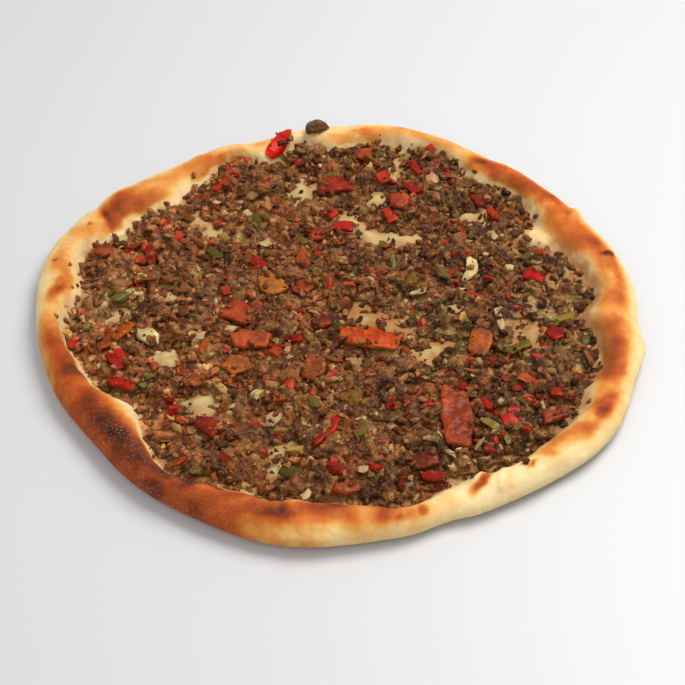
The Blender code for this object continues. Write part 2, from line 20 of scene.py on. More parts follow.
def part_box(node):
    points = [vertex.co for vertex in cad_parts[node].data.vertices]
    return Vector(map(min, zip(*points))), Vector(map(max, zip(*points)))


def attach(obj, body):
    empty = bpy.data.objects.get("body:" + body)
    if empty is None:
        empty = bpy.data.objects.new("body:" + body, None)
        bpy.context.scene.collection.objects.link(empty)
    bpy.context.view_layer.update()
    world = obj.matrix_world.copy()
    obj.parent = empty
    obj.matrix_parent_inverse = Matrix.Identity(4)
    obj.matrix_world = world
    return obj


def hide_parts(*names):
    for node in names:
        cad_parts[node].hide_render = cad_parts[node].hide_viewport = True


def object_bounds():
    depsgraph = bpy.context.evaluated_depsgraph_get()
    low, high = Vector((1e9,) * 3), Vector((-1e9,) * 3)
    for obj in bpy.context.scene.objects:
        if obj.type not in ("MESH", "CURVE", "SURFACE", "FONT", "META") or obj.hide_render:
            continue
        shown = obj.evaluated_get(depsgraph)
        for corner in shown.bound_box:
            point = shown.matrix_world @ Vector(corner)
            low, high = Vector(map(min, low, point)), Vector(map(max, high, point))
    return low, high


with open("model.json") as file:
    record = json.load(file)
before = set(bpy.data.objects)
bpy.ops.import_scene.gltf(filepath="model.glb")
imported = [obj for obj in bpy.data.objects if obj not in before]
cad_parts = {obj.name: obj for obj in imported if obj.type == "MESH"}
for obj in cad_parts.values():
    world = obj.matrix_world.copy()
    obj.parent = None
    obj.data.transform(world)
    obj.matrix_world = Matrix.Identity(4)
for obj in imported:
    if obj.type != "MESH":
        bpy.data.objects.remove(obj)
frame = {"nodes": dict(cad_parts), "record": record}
cad_low, cad_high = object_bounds()
MM = 0.001
print("the frame has", len(frame["nodes"]), "solids")
print("and measures", [round(side / MM, 1) for side in cad_high - cad_low], "mm")

# %% [markdown]
# ## The camera
# A plate of food is usually taken from a chair's height, about 45 degrees above the table. A long lens
# (85 mm) keeps the far rim nearly as large as the near one. The camera is aimed by a direction and a
# distance, so that both are easy to change.

# %% Aim the camera
def new_object(name, data):
    """An object in the scene that shows a mesh, a lamp or a camera."""
    obj = bpy.data.objects.new(name, data)
    bpy.context.scene.collection.objects.link(obj)
    return obj


CAMERA_ELEVATION = math.radians(45.35)
CAMERA_DISTANCE = 0.6795
camera_target = Vector((0.0028, -0.0137, 0.0))
towards_camera = Vector((0, -math.cos(CAMERA_ELEVATION), math.sin(CAMERA_ELEVATION)))

camera = new_object("camera", bpy.data.cameras.new("camera"))
camera.data.lens = 85
camera.data.sensor_width = 36
camera.location = camera_target + CAMERA_DISTANCE * towards_camera
camera.rotation_euler = towards_camera.to_track_quat("Z", "Y").to_euler()
bpy.context.scene.camera = camera
print("the camera stands", round(camera.location.z / MM), "mm above the table")

# %% [markdown]
# ## Light
# Food looks fresh under one large soft light from behind and to the side: it rakes over the crumbs and
# puts small highlights on everything wet. A bright, even world fills the shadows, as white walls do.

# %% Lamps, world and table
def soft_lamp(name, place, size, watts, colour):
    """A round lamp that shines at the middle of the table."""
    lamp = new_object(name, bpy.data.lights.new(name, "AREA"))
    lamp.data.shape = "DISK"
    lamp.data.size = size
    lamp.data.energy = watts
    lamp.data.color = colour
    lamp.location = place
    lamp.rotation_euler = Vector(place).to_track_quat("Z", "Y").to_euler()


soft_lamp("window", (0.36, 0.20, 0.72), 0.55, 7.4, (1.0, 0.98, 0.955))
soft_lamp("fill", (-0.3, -0.6, 0.7), 0.9, 2.4, (1.0, 0.98, 0.96))

world = bpy.data.worlds.new("white room")
world.use_nodes = True
sky = world.node_tree.nodes["Background"].inputs
sky["Color"].default_value = (0.97, 0.98, 1.0, 1)
sky["Strength"].default_value = 0.62
bpy.context.scene.world = world
bpy.context.scene.view_settings.view_transform = "Standard"

TABLE_HEIGHT = -0.4 * MM  # a little lower than the underside of the bread, so that the two don't flicker
bpy.ops.mesh.primitive_plane_add(size=6, location=(0, 0, TABLE_HEIGHT))
table = bpy.context.active_object
table.name = "table"
table_finish = bpy.data.materials.new("pale table")
table_finish.use_nodes = True
table_shader = table_finish.node_tree.nodes["Principled BSDF"].inputs
table_shader["Base Color"].default_value = (0.52, 0.525, 0.535, 1)
table_shader["Roughness"].default_value = 0.45
table.data.materials.append(table_finish)

# %% [markdown]
# ## From coarse solids to soft skins
# Dough and cut vegetables have no facets. *Voxel remesh* wraps a solid in an even net of small squares,
# and a few rounds of *Smooth* melt its edges, while the piece stays where the frame has it. Everything
# organic here starts this way. The result goes into NumPy arrays, because thousands of points are easiest
# to shape there.

# %% A soft skin over a solid of the frame
def evaluated(obj, name):
    """A new object with the mesh that an object's modifiers make."""
    graph = bpy.context.evaluated_depsgraph_get()
    mesh = bpy.data.meshes.new_from_object(obj.evaluated_get(graph))
    bpy.data.objects.remove(obj)
    return new_object(name, mesh)


def melted(obj, name, voxel, rounds):
    """The object wrapped in an even net, with squares of the voxel's size, and smoothed."""
    net = obj.modifiers.new("even net", "REMESH")
    net.mode = "VOXEL"
    net.voxel_size = voxel
    smooth = obj.modifiers.new("melted edges", "SMOOTH")
    smooth.factor = 0.5
    smooth.iterations = rounds
    return evaluated(obj, name)


def soft_skin(node, name, voxel, rounds):
    """A melted copy of a node's solid."""
    mesh = frame["nodes"][node].data.copy()
    mesh.materials.clear()
    skin = melted(new_object("plain copy", mesh), name, voxel, rounds)
    skin.data.shade_smooth()
    return skin


def read_vectors(items, key):
    """One row of three numbers for each item of a mesh."""
    flat = np.empty(3 * len(items), np.float32)
    items.foreach_get(key, flat)
    return flat.reshape(-1, 3).astype(float)


def points_of(obj):
    return read_vectors(obj.data.vertices, "co")


def normals_of(obj):
    return read_vectors(obj.data.vertex_normals, "vector")


def in_the_box(points):
    """Keeps points inside the frame's box, so that the dressed pizza is no larger than the plain one."""
    return np.clip(points, np.array(cad_low), np.array(cad_high))


def set_points(obj, points):
    obj.data.vertices.foreach_set("co", in_the_box(points).astype(np.float32).ravel())
    obj.data.update()


def add_attribute(obj, name, values):
    """Stores a number, or a red, green and blue, on each point for the finish to read."""
    kind, key = "FLOAT", "value"
    if values.ndim > 1:
        kind, key = "FLOAT_COLOR", "color"
        values = np.hstack([values, np.ones((len(values), 1))])  # opaque
    layer = obj.data.attributes.new(name, kind, "POINT")
    layer.data.foreach_set(key, values.astype(np.float32).ravel())


# %% Helpers for uneven shapes
def lumps(points, size, seed=0.0):
    """Smooth noise between about -1 and 1 for each point, with lumps of that size in millimetres."""
    shift = Vector((seed, 2 * seed, -seed))
    return np.array([noise.noise(Vector(point) / (size * MM) + shift) for point in points])


def patches(x, y, size, layer):
    """The same for one place on the pizza. Each layer has patches of its own."""
    return noise.noise(Vector((x, y, layer)) / (size * MM))


def bell(apart, width, power=2):
    """1 in the middle and near 0 beyond the width. A higher power makes its sides steeper."""
    return np.exp(-(np.abs(apart / width) ** power))


def ramp_up(values, low, high):
    """0 below low, 1 above high, and a smooth S between."""
    share = np.clip((values - low) / (high - low), 0, 1)
    return share * share * (3 - 2 * share)


def shade(red, green, blue):
    """A colour in the 0 to 255 numbers of a paint program, as the linear numbers of a shader."""
    shares = (channel / 255 for channel in (red, green, blue))
    return tuple(c / 12.92 if c <= 0.04045 else ((c + 0.055) / 1.055) ** 2.4 for c in shares)


def tree_of(node):
    """A search tree over a node's solid, for finding its surface under a point."""
    mesh = frame["nodes"][node].data
    faces = [tuple(face.vertices) for face in mesh.polygons]
    return BVHTree.FromPolygons([point.co.copy() for point in mesh.vertices], faces)


def height_below(tree, x, y):
    """Height of the highest surface over a point of the table, or None where there is none."""
    hit = tree.ray_cast(Vector((x, y, 0.1)), Vector((0, 0, -1)))[0]
    return None if hit is None else hit.z


# %% [markdown]
# ## Maps of the pizza
# Crumbs, stains and flour all have to know where they are: on mince, on bare dough, beside a slice of
# tomato. A map with one cell for each square millimetre answers that at once. It is read from the frame
# by looking straight down at the solids, and distances spread outwards over it one cell at a time.

# %% Draw the maps
HALF = 130  # cells from the middle to the map's edge, one to a millimetre
crust_tree, meat_tree = tree_of("crust"), tree_of("meat")
topping_nodes = [node for node in frame["nodes"] if node not in ("crust", "meat", "meat_clump")]


def looked_down(tree, low, high):
    """The height of a solid in each cell of its box, and nan elsewhere."""
    heights = np.full((2 * HALF + 1, 2 * HALF + 1), np.nan)
    for i in range(int(low.x / MM) - 1, int(high.x / MM) + 2):
        for j in range(int(low.y / MM) - 1, int(high.y / MM) + 2):
            found = height_below(tree, i * MM, j * MM)
            if found is not None:
                heights[i + HALF, j + HALF] = found
    return heights


def neighbours(field, reach):
    """The map shifted to every cell within reach."""
    for di in range(-reach, reach + 1):
        for dj in range(-reach, reach + 1):
            yield np.roll(field, (di, dj), (0, 1))


def softened(heights, reach):
    """Averages a map over a square, leaving out what has no height."""
    total = sum(neighbours(np.nan_to_num(heights), reach))
    count = sum(neighbours((~np.isnan(heights)).astype(float), reach))
    return np.where(np.isnan(heights), np.nan, total / np.maximum(count, 1))


def distance_from(mask, most):
    """Millimetres from a marked cell, counted outwards cell by cell up to the most."""
    distance = np.where(mask, 0, most).astype(float)
    reached = mask.copy()
    for step in range(1, most):
        grown = np.any(list(neighbours(reached, 1)), axis=0) if step % 3 else reached.copy()
        for di, dj in ((1, 0), (-1, 0), (0, 1), (0, -1)):
            grown |= np.roll(reached, (di, dj), (0, 1))
        distance[grown & ~reached] = step
        reached = grown
    return distance


dough_map = looked_down(crust_tree, *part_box("crust"))
meat_map = looked_down(meat_tree, *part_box("meat"))
heap_map = softened(meat_map, 2)
topping_heights = np.full_like(meat_map, np.nan)
for node in topping_nodes:
    topping_heights = np.fmax(topping_heights, looked_down(tree_of(node), *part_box(node)))
topping_map = ~np.isnan(topping_heights)
into_topping = distance_from(~topping_map, 8)
from_meat = distance_from(~np.isnan(meat_map), 14)
from_topping = distance_from(topping_map, 8)
from_bare = distance_from(np.isnan(meat_map), 14)


def cell(field, x, y):
    """A map's value at a point in metres."""
    return field[round(x / MM) + HALF, round(y / MM) + HALF]


print("mince covers", int((~np.isnan(meat_map)).sum()), "square mm, and")
print("larger toppings", int(topping_map.sum()))

# %% [markdown]
# ## The bread
# The bread is one soft skin over the frame's crust. A pizza's rim isn't turned on a lathe: it has
# dimples, small blisters and pinches from the baker's fingers. They are pushed into the points here,
# because a dent that catches light along its edge can't be painted on.

# %% Make the skin of the bread
BED = 5.0 * MM
bread = soft_skin("crust", "bread", 1.25 * MM, 9)
dough = points_of(bread)
print("the bread has", len(dough), "points")

# %% Find where each point lies across the rim
crowns, lips, edges = [], [], []
for bearing in range(360):
    east, north = math.cos(math.radians(bearing)), math.sin(math.radians(bearing))
    steps = np.arange(88, 129.5, 0.75) * MM
    heights = np.array([height_below(crust_tree, r * east, r * north) or 0.0 for r in steps])
    crown = int(np.argmax(heights))
    lip = int(np.max(np.nonzero(heights[:crown + 1] < BED + 0.8 * MM), initial=0))
    crowns.append(steps[crown])
    lips.append(steps[lip])
    edges.append(steps[np.max(np.nonzero(heights))])


def round_the_rim(values, bearings):
    """Looks a value up for any bearing, softened over a few degrees."""
    softer = np.mean([np.roll(values, k) for k in range(-3, 4)], axis=0)
    return np.interp(bearings, np.arange(361), np.append(softer, softer[0]))


bearings = np.degrees(np.arctan2(dough[:, 1], dough[:, 0])) % 360
radii = np.hypot(dough[:, 0], dough[:, 1])
crown_at, lip_at, edge_at = (round_the_rim(values, bearings) for values in (crowns, lips, edges))
# -1 at the meat's edge, 0 on the crown and 1 at the outer edge.
across = (radii - crown_at) / np.where(radii < crown_at, crown_at - lip_at, edge_at - crown_at)
print("the rim is", round(float(np.mean(edges) - np.mean(lips)) / MM), "mm wide")

# %% Dimples, pinches and blisters
# Grooves: two ends in millimetres, the width and the depth.
GROOVES = (
    (-110, 66, -93, 41, 2.4, 2.1), (-101, 58, -90, 54, 1.6, 0.5), (92, -62, 117, -50, 2.2, 1.2),
    (111, -73, 119, -66, 1.8, 0.7), (58, -92, 52, -105, 1.6, 1.0), (67, -94, 66, -104, 1.4, 0.7),
    (121, 22, 117, 33, 1.2, 0.6), (124, 20, 121, 31, 1.0, 0.5), (101, 46, 104, 60, 1.0, 0.5),
    (106, 47, 109, 59, 0.9, 0.5), (-44, 108, -38, 107, 1.2, 0.5), (20, 119, 23, 112, 2.0, 0.5),
    (-24, -98, -27, -112, 2.4, 1.0), (-21, -103, -17, -116, 2.2, 0.8), (-109, -40, -97, -37, 2.0, 0.6),
    (-75, -66, -84, -60, 2.5, 0.3), (78, 88, 70, 80, 2.0, 0.5), (-62, 101, -58, 92, 2.0, 0.4),
    (98, -72, 92, -66, 2.0, 0.5),
)
# Blisters: the middle in millimetres, the radius and the height.
BLISTERS = (
    (24, -117, 2.4, 0.5), (33, -113, 2.6, 0.4), (75, -93, 2.4, 0.5), (-56, -94, 5.0, 0.7),
    (-47, -96, 4.0, 0.6), (118, 28, 2.6, 0.7), (104, 53, 5.0, 0.8), (-89, 53, 4.0, 0.8),
    (-62, 97, 5.0, 0.4), (88, 75, 6.0, 0.5), (72, 88, 5.0, 0.5), (-104, -44, 6.0, 0.5),
    (-80, -70, 7.0, 0.5), (-33, -107, 6.0, 0.4), (8, 112, 5.0, 0.3),
)
GROOVE_SHADE_REACH = 1.4  # how far the painted shade at the bottom of a groove reaches, in millimetres
flat = dough[:, :2] / MM
push = 0.5 * lumps(dough, 12, 3) + 0.22 * lumps(dough, 5, 5)
push += 0.06 * lumps(dough, 2.0, 8)
groove_shade = np.zeros(len(flat))
for x0, y0, x1, y1, width, depth in GROOVES:
    start, run = np.array((x0, y0)), np.array((x1 - x0, y1 - y0))
    share = np.clip((flat - start) @ run / (run @ run), 0, 1)
    apart = np.linalg.norm(flat - start - share[:, None] * run, axis=1)
    dent = depth * bell(apart, width) * np.sin(np.pi * (0.15 + 0.7 * share))
    push -= dent
    groove_shade = np.maximum(groove_shade, dent * bell(apart, GROOVE_SHADE_REACH))
for x, y, radius, height in BLISTERS:
    push += height * bell(np.hypot(flat[:, 0] - x, flat[:, 1] - y), radius)
push *= ramp_up(dough[:, 2], 2.5 * MM, 7 * MM)
set_points(bread, dough + normals_of(bread) * (push * MM)[:, None])
print("dents and blisters up to", round(float(np.abs(push).max()), 2), "mm")

# %% [markdown]
# ## Baking the bread
# Browning follows the oven's heat: strong where the rim stood high or faced the fire, absent on the lip
# that the meat kept moist. It is stored on the points as one number, *toast*, from raw to burnt. The
# finish turns that number into colour with a ramp, so that every shade between cream and char comes in
# its natural order.

# %% Scorch marks
# Middle, length and width in millimetres, turn in degrees, toast at the middle.
SCORCHES = (
    (-92, 57, 30, 20, 40, 0.6), (-98, 63, 20, 12, 60, 0.62), (-90, 55, 12, 7, 35, 0.7),
    (-84, 66, 22, 12, 36, 0.44), (-56, 93, 30, 10, 28, 0.46), (-52, 96, 14, 6, 20, 0.52),
    (-70, 84, 26, 9, 32, 0.36), (-110, 46, 14, 10, 60, 0.34), (-117, 9, 26, 9, 82, 0.5),
    (-117, 4, 12, 6, 80, 0.58), (-119, 24, 20, 8, 100, 0.4), (-117, -22, 20, 10, 84, 0.52),
    (3, 110, 16, 6, 0, 0.36), (14, 114, 14, 6, 5, 0.38), (33, 115, 22, 6, -8, 0.32),
    (-36, 106, 14, 6, 20, 0.34), (70, 89, 22, 12, -38, 0.6), (66, 92, 10, 6, -30, 0.64),
    (86, 76, 28, 13, -44, 0.62), (97, 66, 24, 12, -50, 0.66), (107, 40, 26, 18, -50, 0.58),
    (113, 34, 14, 9, -60, 0.58), (118, 28, 5, 4, 0, 0.9), (121, 10, 44, 7, 97, 0.46),
    (113, -22, 34, 15, 88, 0.62), (112, -36, 26, 15, 84, 0.61), (108, -60, 20, 12, 62, 0.54),
    (106, -64, 10, 7, 60, 0.6), (93, -75, 36, 9, 36, 0.46), (84, -82, 18, 7, 36, 0.44),
    (102, -71, 14, 6, 30, 0.4), (73, -83, 6, 5, 60, 0.5), (24, -116, 4, 3, 0, 0.72),
    (33, -112, 5, 4, 0, 0.58), (75, -92, 5, 3, 60, 0.68), (56, -97, 14, 4, 62, 0.68),
    (33, -123, 5, 3, 0, 0.6), (41, -121, 4, 3, 0, 0.52), (53, -115, 9, 3, 20, 0.5),
    (0, -114, 52, 20, 2, 0.6), (4, -109, 24, 6, 5, 0.64), (-8, -109, 6, 4, 0, 0.76),
    (20, -114, 24, 14, 0, 0.48), (-25, -112, 20, 12, 0, 0.66), (-40, -113, 44, 20, -14, 0.62),
    (-64, -102, 48, 22, -36, 0.66), (-88, -80, 50, 24, -50, 0.65), (-103, -56, 44, 22, -60, 0.62),
    (-111, -36, 36, 16, -72, 0.6), (-106, -41, 16, 10, 0, 0.68), (-90, -66, 36, 14, -55, 0.74),
    (-64, -95, 30, 11, -32, 0.76), (-80, -81, 34, 12, -50, 0.73), (-34, -106, 26, 7, -8, 0.72),
    (-70, -102, 22, 7, -38, 0.72), (-19, -112, 6, 3, 80, 0.68),
)
# The same, for what burnt on the lip itself.
CHARS = (
    (-56, -98, 20, 9, -22, 0.98), (-46, -101, 12, 7, -15, 0.9), (118, 28, 5, 3, 0, 0.95),
    (-110, 49, 2, 2, 0, 0.9), (-120, 25, 2, 2, 0, 0.9), (-113, 10, 2, 2, 0, 0.9),
)
dough = points_of(bread)
wander = [lumps(dough, 9, 11), lumps(dough, 9, 13)]
flutter = [lumps(dough, 3, 15), lumps(dough, 3, 17)]
flat = dough[:, :2] / MM + 2.6 * np.stack(wander, axis=1) + 1.0 * np.stack(flutter, axis=1)


def in_spot(x, y, length, width, turn):
    """1 in the middle of an oval spot and 0 outside it, with a wandering edge."""
    c, s = math.cos(math.radians(turn)), math.sin(math.radians(turn))
    along = 2 * ((flat[:, 0] - x) * c + (flat[:, 1] - y) * s) / length
    aside = 2 * ((flat[:, 1] - y) * c - (flat[:, 0] - x) * s) / width
    return np.exp(-((along**2 + aside**2) ** 1.5) * 0.7)


MELT = 3.2  # where two marks overlap the stronger wins: the more so, the higher this is
scorch = sum((strength * in_spot(*oval)) ** MELT for *oval, strength in SCORCHES) ** (1 / MELT)
print("scorch marks:", len(SCORCHES))

# %% Golden skin, pale lip and pale foot
def on_side(bearing, width, power=2):
    """1 for points at a bearing, and 0 for those more than the width in degrees away from it."""
    return bell((bearings - bearing + 180) % 360 - 180, width, power)


golden = 0.28 * ramp_up(across, -0.8, -0.2) * (1 + 0.8 * lumps(dough, 16, 21))
golden *= 1 + 0.45 * on_side(5, 38)
golden *= 1 - 0.85 * on_side(304, 20)  # this side lay in the oven's mouth
golden *= 1 - 0.3 * on_side(100, 30)
toast = np.maximum(golden, scorch) + 0.25 * np.minimum(golden, scorch)
fire_side = on_side(232, 44)  # this side lay nearest the fire
near_side = on_side(231, 44, 4)  # and here even the outer edge browned
lip_width = 0.14 * lumps(dough, 7, 19) + 0.2 * fire_side
toast *= ramp_up(across - lip_width, -0.88, -0.66)
toast *= 1 + 0.35 * on_side(272, 20) * (2 * lumps(dough, 9, 33) - 0.4)
toast *= 1 - 0.7 * (1 - near_side) * ramp_up(across, 0.35, 0.9)
foot = ramp_up(dough[:, 2] + 2.0 * MM * near_side, 2.0 * MM, 6.5 * MM)
toast *= foot + (1 - foot) * (0.12 + 0.45 * fire_side)
toast += 0.12 * groove_shade * ramp_up(across, -1.2, -0.6)  # painted shade: the bottoms of grooves are given more toast, so they look darker
for *oval, strength in CHARS:
    toast = np.maximum(toast, strength * in_spot(*oval))
bed = radii < lip_at
toast[bed] = 0.10 + 0.12 * lumps(dough[bed], 9, 23)
toast[bed] += 0.08 * lumps(dough[bed], 3, 25)
under = dough[:, 2] < 0.6 * MM
toast[under] = 0.35 + 0.3 * lumps(dough[under], 12, 27)
add_attribute(bread, "toast", np.clip(toast, 0, 1.0))
print("toast runs from", round(float(toast.min()), 2), "to", round(float(toast.max()), 2))

# %% Flour, fat and juice
flour = on_side(234, 26) * ramp_up(across, -0.5, 0.1)
flour *= np.clip(0.6 + 0.7 * lumps(dough, 8, 29), 0, 1)
add_attribute(bread, "flour", flour)

# Fat and tomato juice run a few millimetres out of the mince into the dough.
reach_of_fat = np.array([cell(from_meat, x, y) for x, y in dough[:, :2]])
greasy_and_shaded_side = on_side(358, 30)  # where the mince stops short of the rim, and where the lip's inner slope lies in shade
fat_width = 3.0 + 5.0 * greasy_and_shaded_side
stain = bell(reach_of_fat, fat_width, 1.5) * (0.85 + 0.9 * lumps(dough, 4, 71))
stain += bed * (0.08 + 0.4 * lumps(dough, 5, 73))
# partly painted shade: on that side the stain darkens the lip for its grease and also stands in for the
# shade on its inner slope
stain += (0.12 + 0.42 * greasy_and_shaded_side) * (1 + lumps(dough, 7, 75))
stain *= ramp_up(-across, -0.1, 0.8) * ~under
add_attribute(bread, "stain", np.clip(stain, 0, 1))
add_attribute(bread, "soaked", bed.astype(float))
print("stained:", round(100 * float((stain > 0.3).mean())), "percent of the bread's points")

# %% [markdown]
# ## Finishes
# Every finish is built from the same few nodes: a colour stored on the points, noise at two or three
# sizes, a ramp, and bump. A small class keeps that readable. Numbers that are the same everywhere, such
# as the coat, are set on the shader itself, so that they survive when the model is saved for another
# program.

# %% A small kit for finishes
class Finish:
    """A material with its Principled shader, and short calls that add and join nodes."""

    def __init__(self, name):
        self.material = bpy.data.materials.new(name)
        self.material.use_nodes = True
        self.tree = self.material.node_tree
        self.shader = self.tree.nodes["Principled BSDF"]
        self.place = self.add("TexCoord", {}, "Object")

    def fill(self, socket, value):
        """Joins another node's output to an input, or sets the input to a plain value."""
        if isinstance(value, bpy.types.NodeSocket):
            self.tree.links.new(value, socket)
        else:
            socket.default_value = value

    def add(self, kind, inputs, output=0, **settings):
        """The output of a new node, with its inputs filled."""
        node = self.tree.nodes.new("ShaderNode" + kind)
        for key, value in settings.items():
            setattr(node, key, value)
        for key, value in inputs.items():
            self.fill(node.inputs[key], value)
        return node.outputs[output]

    def set(self, **inputs):
        """Fills inputs of the shader."""
        for key, value in inputs.items():
            self.fill(self.shader.inputs[key.replace("_", " ")], value)

    def attribute(self, name, output="Fac"):
        return self.add("Attribute", {}, output, attribute_name=name)

    def noise(self, scale, detail=3.0):
        """Noise around 0, about -0.5 to 0.5, with lumps of 1/scale metres."""
        inputs = {"Scale": scale, "Detail": detail, "Vector": self.place}
        return self.spread(self.add("TexNoise", inputs, "Fac"), 0.25, 0.75, -0.5, 0.5)

    def cells(self, scale):
        """Distance from the middle of scattered cells, 0 to about 1: grains that touch."""
        return self.add("TexVoronoi", {"Scale": scale, "Vector": self.place}, "Distance")

    def sum(self, value, other, factor):
        """value + other * factor. value may be a number."""
        return self.add("Math", {0: other, 1: factor, 2: value}, operation="MULTIPLY_ADD")

    def product(self, value, other):
        return self.add("Math", {0: value, 1: other}, operation="MULTIPLY")

    def spread(self, value, low, high, out_low=0.0, out_high=1.0):
        """Stretches low to high over out_low to out_high, and stops there."""
        ends = {"From Min": low, "From Max": high, "To Min": out_low, "To Max": out_high}
        return self.add("MapRange", {"Value": value, **ends}, "Result")

    def ramp(self, value, stops):
        colour = self.add("ValToRGB", {"Fac": value}, "Color")
        elements = colour.node.color_ramp.elements
        while len(elements) < len(stops):
            elements.new(0.5)
        for element, (position, tint) in zip(elements, stops):
            element.position = position
            element.color = (*tint, 1)
        return colour

    def blend(self, factor, first, second):
        """Mixes a colour output towards a plain colour."""
        inputs = {"Factor": factor, 6: first, 7: (*second, 1)}  # 6 and 7 are its two colours
        return self.add("Mix", inputs, 2, data_type="RGBA")

    def brighten(self, colour, factor):
        """A colour output times a number output."""
        return self.add("VectorMath", {0: colour, "Scale": factor}, operation="SCALE")

    def bump(self, height, distance, strength):
        inputs = {"Height": height, "Distance": distance, "Strength": strength}
        self.set(Normal=self.add("Bump", inputs, "Normal"))


# %% The bread's finish
baked = Finish("baked dough")
pores, mottle = baked.noise(420.0, 4.0), baked.noise(110.0, 4.0)
toasted = baked.sum(baked.attribute("toast"), pores, 0.08)
toasted = baked.sum(toasted, mottle, 0.18)
toasted = baked.sum(toasted, baked.noise(48.0, 2.0), 0.10)
crust_colour = baked.ramp(toasted, (
    (0.00, shade(226, 202, 150)), (0.16, shade(218, 180, 116)), (0.34, shade(202, 140, 66)),
    (0.50, shade(184, 102, 36)), (0.66, shade(158, 68, 18)), (0.82, shade(112, 44, 15)),
    (1.00, shade(42, 17, 14)),
))
dust = baked.spread(baked.noise(1250.0, 1.0), 0.08, 0.4, 0.0, 0.45)
for factor, colour in (
    (baked.product(baked.attribute("flour"), dust), shade(208, 150, 100)),
    (baked.spread(baked.attribute("soaked"), 0.0, 1.0, 0.0, 0.8), shade(172, 155, 107)),
    (baked.spread(baked.attribute("stain"), 0.0, 1.0, 0.0, 0.85), shade(150, 94, 44)),
):
    crust_colour = baked.blend(factor, crust_colour, colour)
baked.set(Base_Color=crust_colour, Roughness=baked.spread(mottle, -0.4, 0.4, 0.5, 0.68))
baked.bump(baked.sum(mottle, pores, 0.35), 0.0007, 0.7)
baked.set(Subsurface_Weight=0.3, Subsurface_Radius=(1.0, 0.6, 0.3), Subsurface_Scale=0.003)
baked.set(Specular_IOR_Level=0.18, Specular_Tint=(1.0, 0.85, 0.7, 1.0))
bread.data.materials.append(baked.material)
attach(bread, "root")
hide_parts("crust")
print("the bread is", [round(side / MM) for side in bread.dimensions], "mm")

# %% [markdown]
# ## The mince
# Minced meat fries into knobbly nuggets of fused crumbs, with smaller crumbs and grains between them. The
# bed is a soft skin over the frame's meat. The nuggets are copies of a few shapes, each turned, stretched
# and tinted differently, and written into one mesh. Instances would be lighter, but a real mesh survives
# the export and can be measured.

# %% Clumps, hollows and thin places
def clumping(x, y):
    """About -1 in the hollows of the heap and 1 on its clumps."""
    return 1.5 * patches(x, y, 9.5, 0.3) + 0.9 * patches(x, y, 4.6, 0.3)


# Middle and reach in millimetres of where the mince lies thin.
THIN_PLACES = (
    (41, -6, 8), (33, -9, 6), (51, -3, 7), (83, 4, 8), (103, -3, 7), (98, -25, 7), (94, 16, 6),
    (-43, 45, 8), (-98, 3, 6), (-43, -53, 8), (-23, -63, 7), (-3, 18, 6), (77, 43, 8), (69, 46, 6),
    (-60, 20, 6), (20, -28, 6),
)


def thinness(x, y):
    """1 where hardly any mince covers the bed, and 0 where it lies thick."""
    wobble = 1 + 0.6 * patches(x, y, 7, 0.4)
    apart = min(math.hypot(x / MM - px, y / MM - py) / reach for px, py, reach in THIN_PLACES)
    # On the right, 5 degrees below east, the heap also thins out along its border.
    border = bell(math.degrees(math.atan2(y, x)) + 5, 45) * bell(cell(from_bare, x, y), 7 * wobble)
    return max(bell(apart, wobble), border)


thin_map = np.zeros_like(meat_map)
for i, j in np.argwhere(~np.isnan(meat_map)):
    thin_map[i, j] = thinness((i - HALF) * MM, (j - HALF) * MM)
print("the mince is thin on", int((thin_map > 0.5).sum()), "square mm")

# %% Shape the bed
meat_bed = soft_skin("meat", "meat_bed", 1.6 * MM, 5)
bed_points = points_of(meat_bed)
raised = ramp_up(bed_points[:, 2], BED + 0.5 * MM, BED + 2.5 * MM)
relief = 0.5 * lumps(bed_points, 2.4, 31) - 0.5
relief += [0.9 * clumping(x, y) - 0.8 * cell(thin_map, x, y) for x, y in bed_points[:, :2]]
bed_points[:, 2] = np.maximum(bed_points[:, 2] + raised * relief * MM, BED + 0.1 * MM)
set_points(meat_bed, bed_points)
print("the bed has", len(bed_points), "points")

# %% Nuggets, crumbs and dice to copy
def ball_mesh(subdivisions):
    """The points and triangles of a ball of radius 1."""
    ball = bmesh.new()
    bmesh.ops.create_icosphere(ball, subdivisions=subdivisions, radius=1)
    points = np.array([v.co for v in ball.verts])
    triangles = np.array([[v.index for v in face.verts] for face in ball.faces])
    ball.free()
    return points, triangles


def knobbly(count, subdivisions, knobs, seed):
    """Nuggets of radius about 1, each the outside of a few balls that are fused together."""
    shapes = []
    directions, triangles = ball_mesh(subdivisions)
    for number in range(count):
        draw = np.random.default_rng((seed, number))
        middles = draw.normal(size=(knobs, 3))
        middles *= (draw.uniform(0.45, 0.85, knobs) / np.linalg.norm(middles, axis=1))[:, None]
        sizes = draw.uniform(0.30, 0.52, knobs)
        facing = directions @ middles.T
        inside = sizes**2 - np.sum(middles**2, axis=1) + facing**2
        far_side = facing + np.sqrt(np.maximum(inside, 0))
        reach = np.where((inside > 0) & (facing > 0), far_side, 0).max(axis=1)
        reach = np.maximum(reach, 0.55)
        shapes.append((directions * (reach / reach.mean())[:, None], triangles))
    return shapes


def diced(count, seed):
    """Cut dice: small blocks with uneven corners and slightly wavy faces."""
    shapes = []
    block = bmesh.new()
    bmesh.ops.create_cube(block, size=2)
    bmesh.ops.subdivide_edges(block, edges=block.edges, cuts=1, use_grid_fill=True)
    bmesh.ops.triangulate(block, faces=block.faces)
    corners = np.array([v.co for v in block.verts])
    triangles = np.array([[v.index for v in face.verts] for face in block.faces])
    block.free()
    for number in range(count):
        draw = np.random.default_rng((seed, number))
        skew = np.eye(3) + draw.uniform(-0.4, 0.4, (3, 3))
        rounder = corners * (0.62 + 0.42 / np.linalg.norm(corners, axis=1))[:, None]
        shapes.append((rounder @ skew + draw.uniform(-0.2, 0.2, corners.shape), triangles))
    return shapes


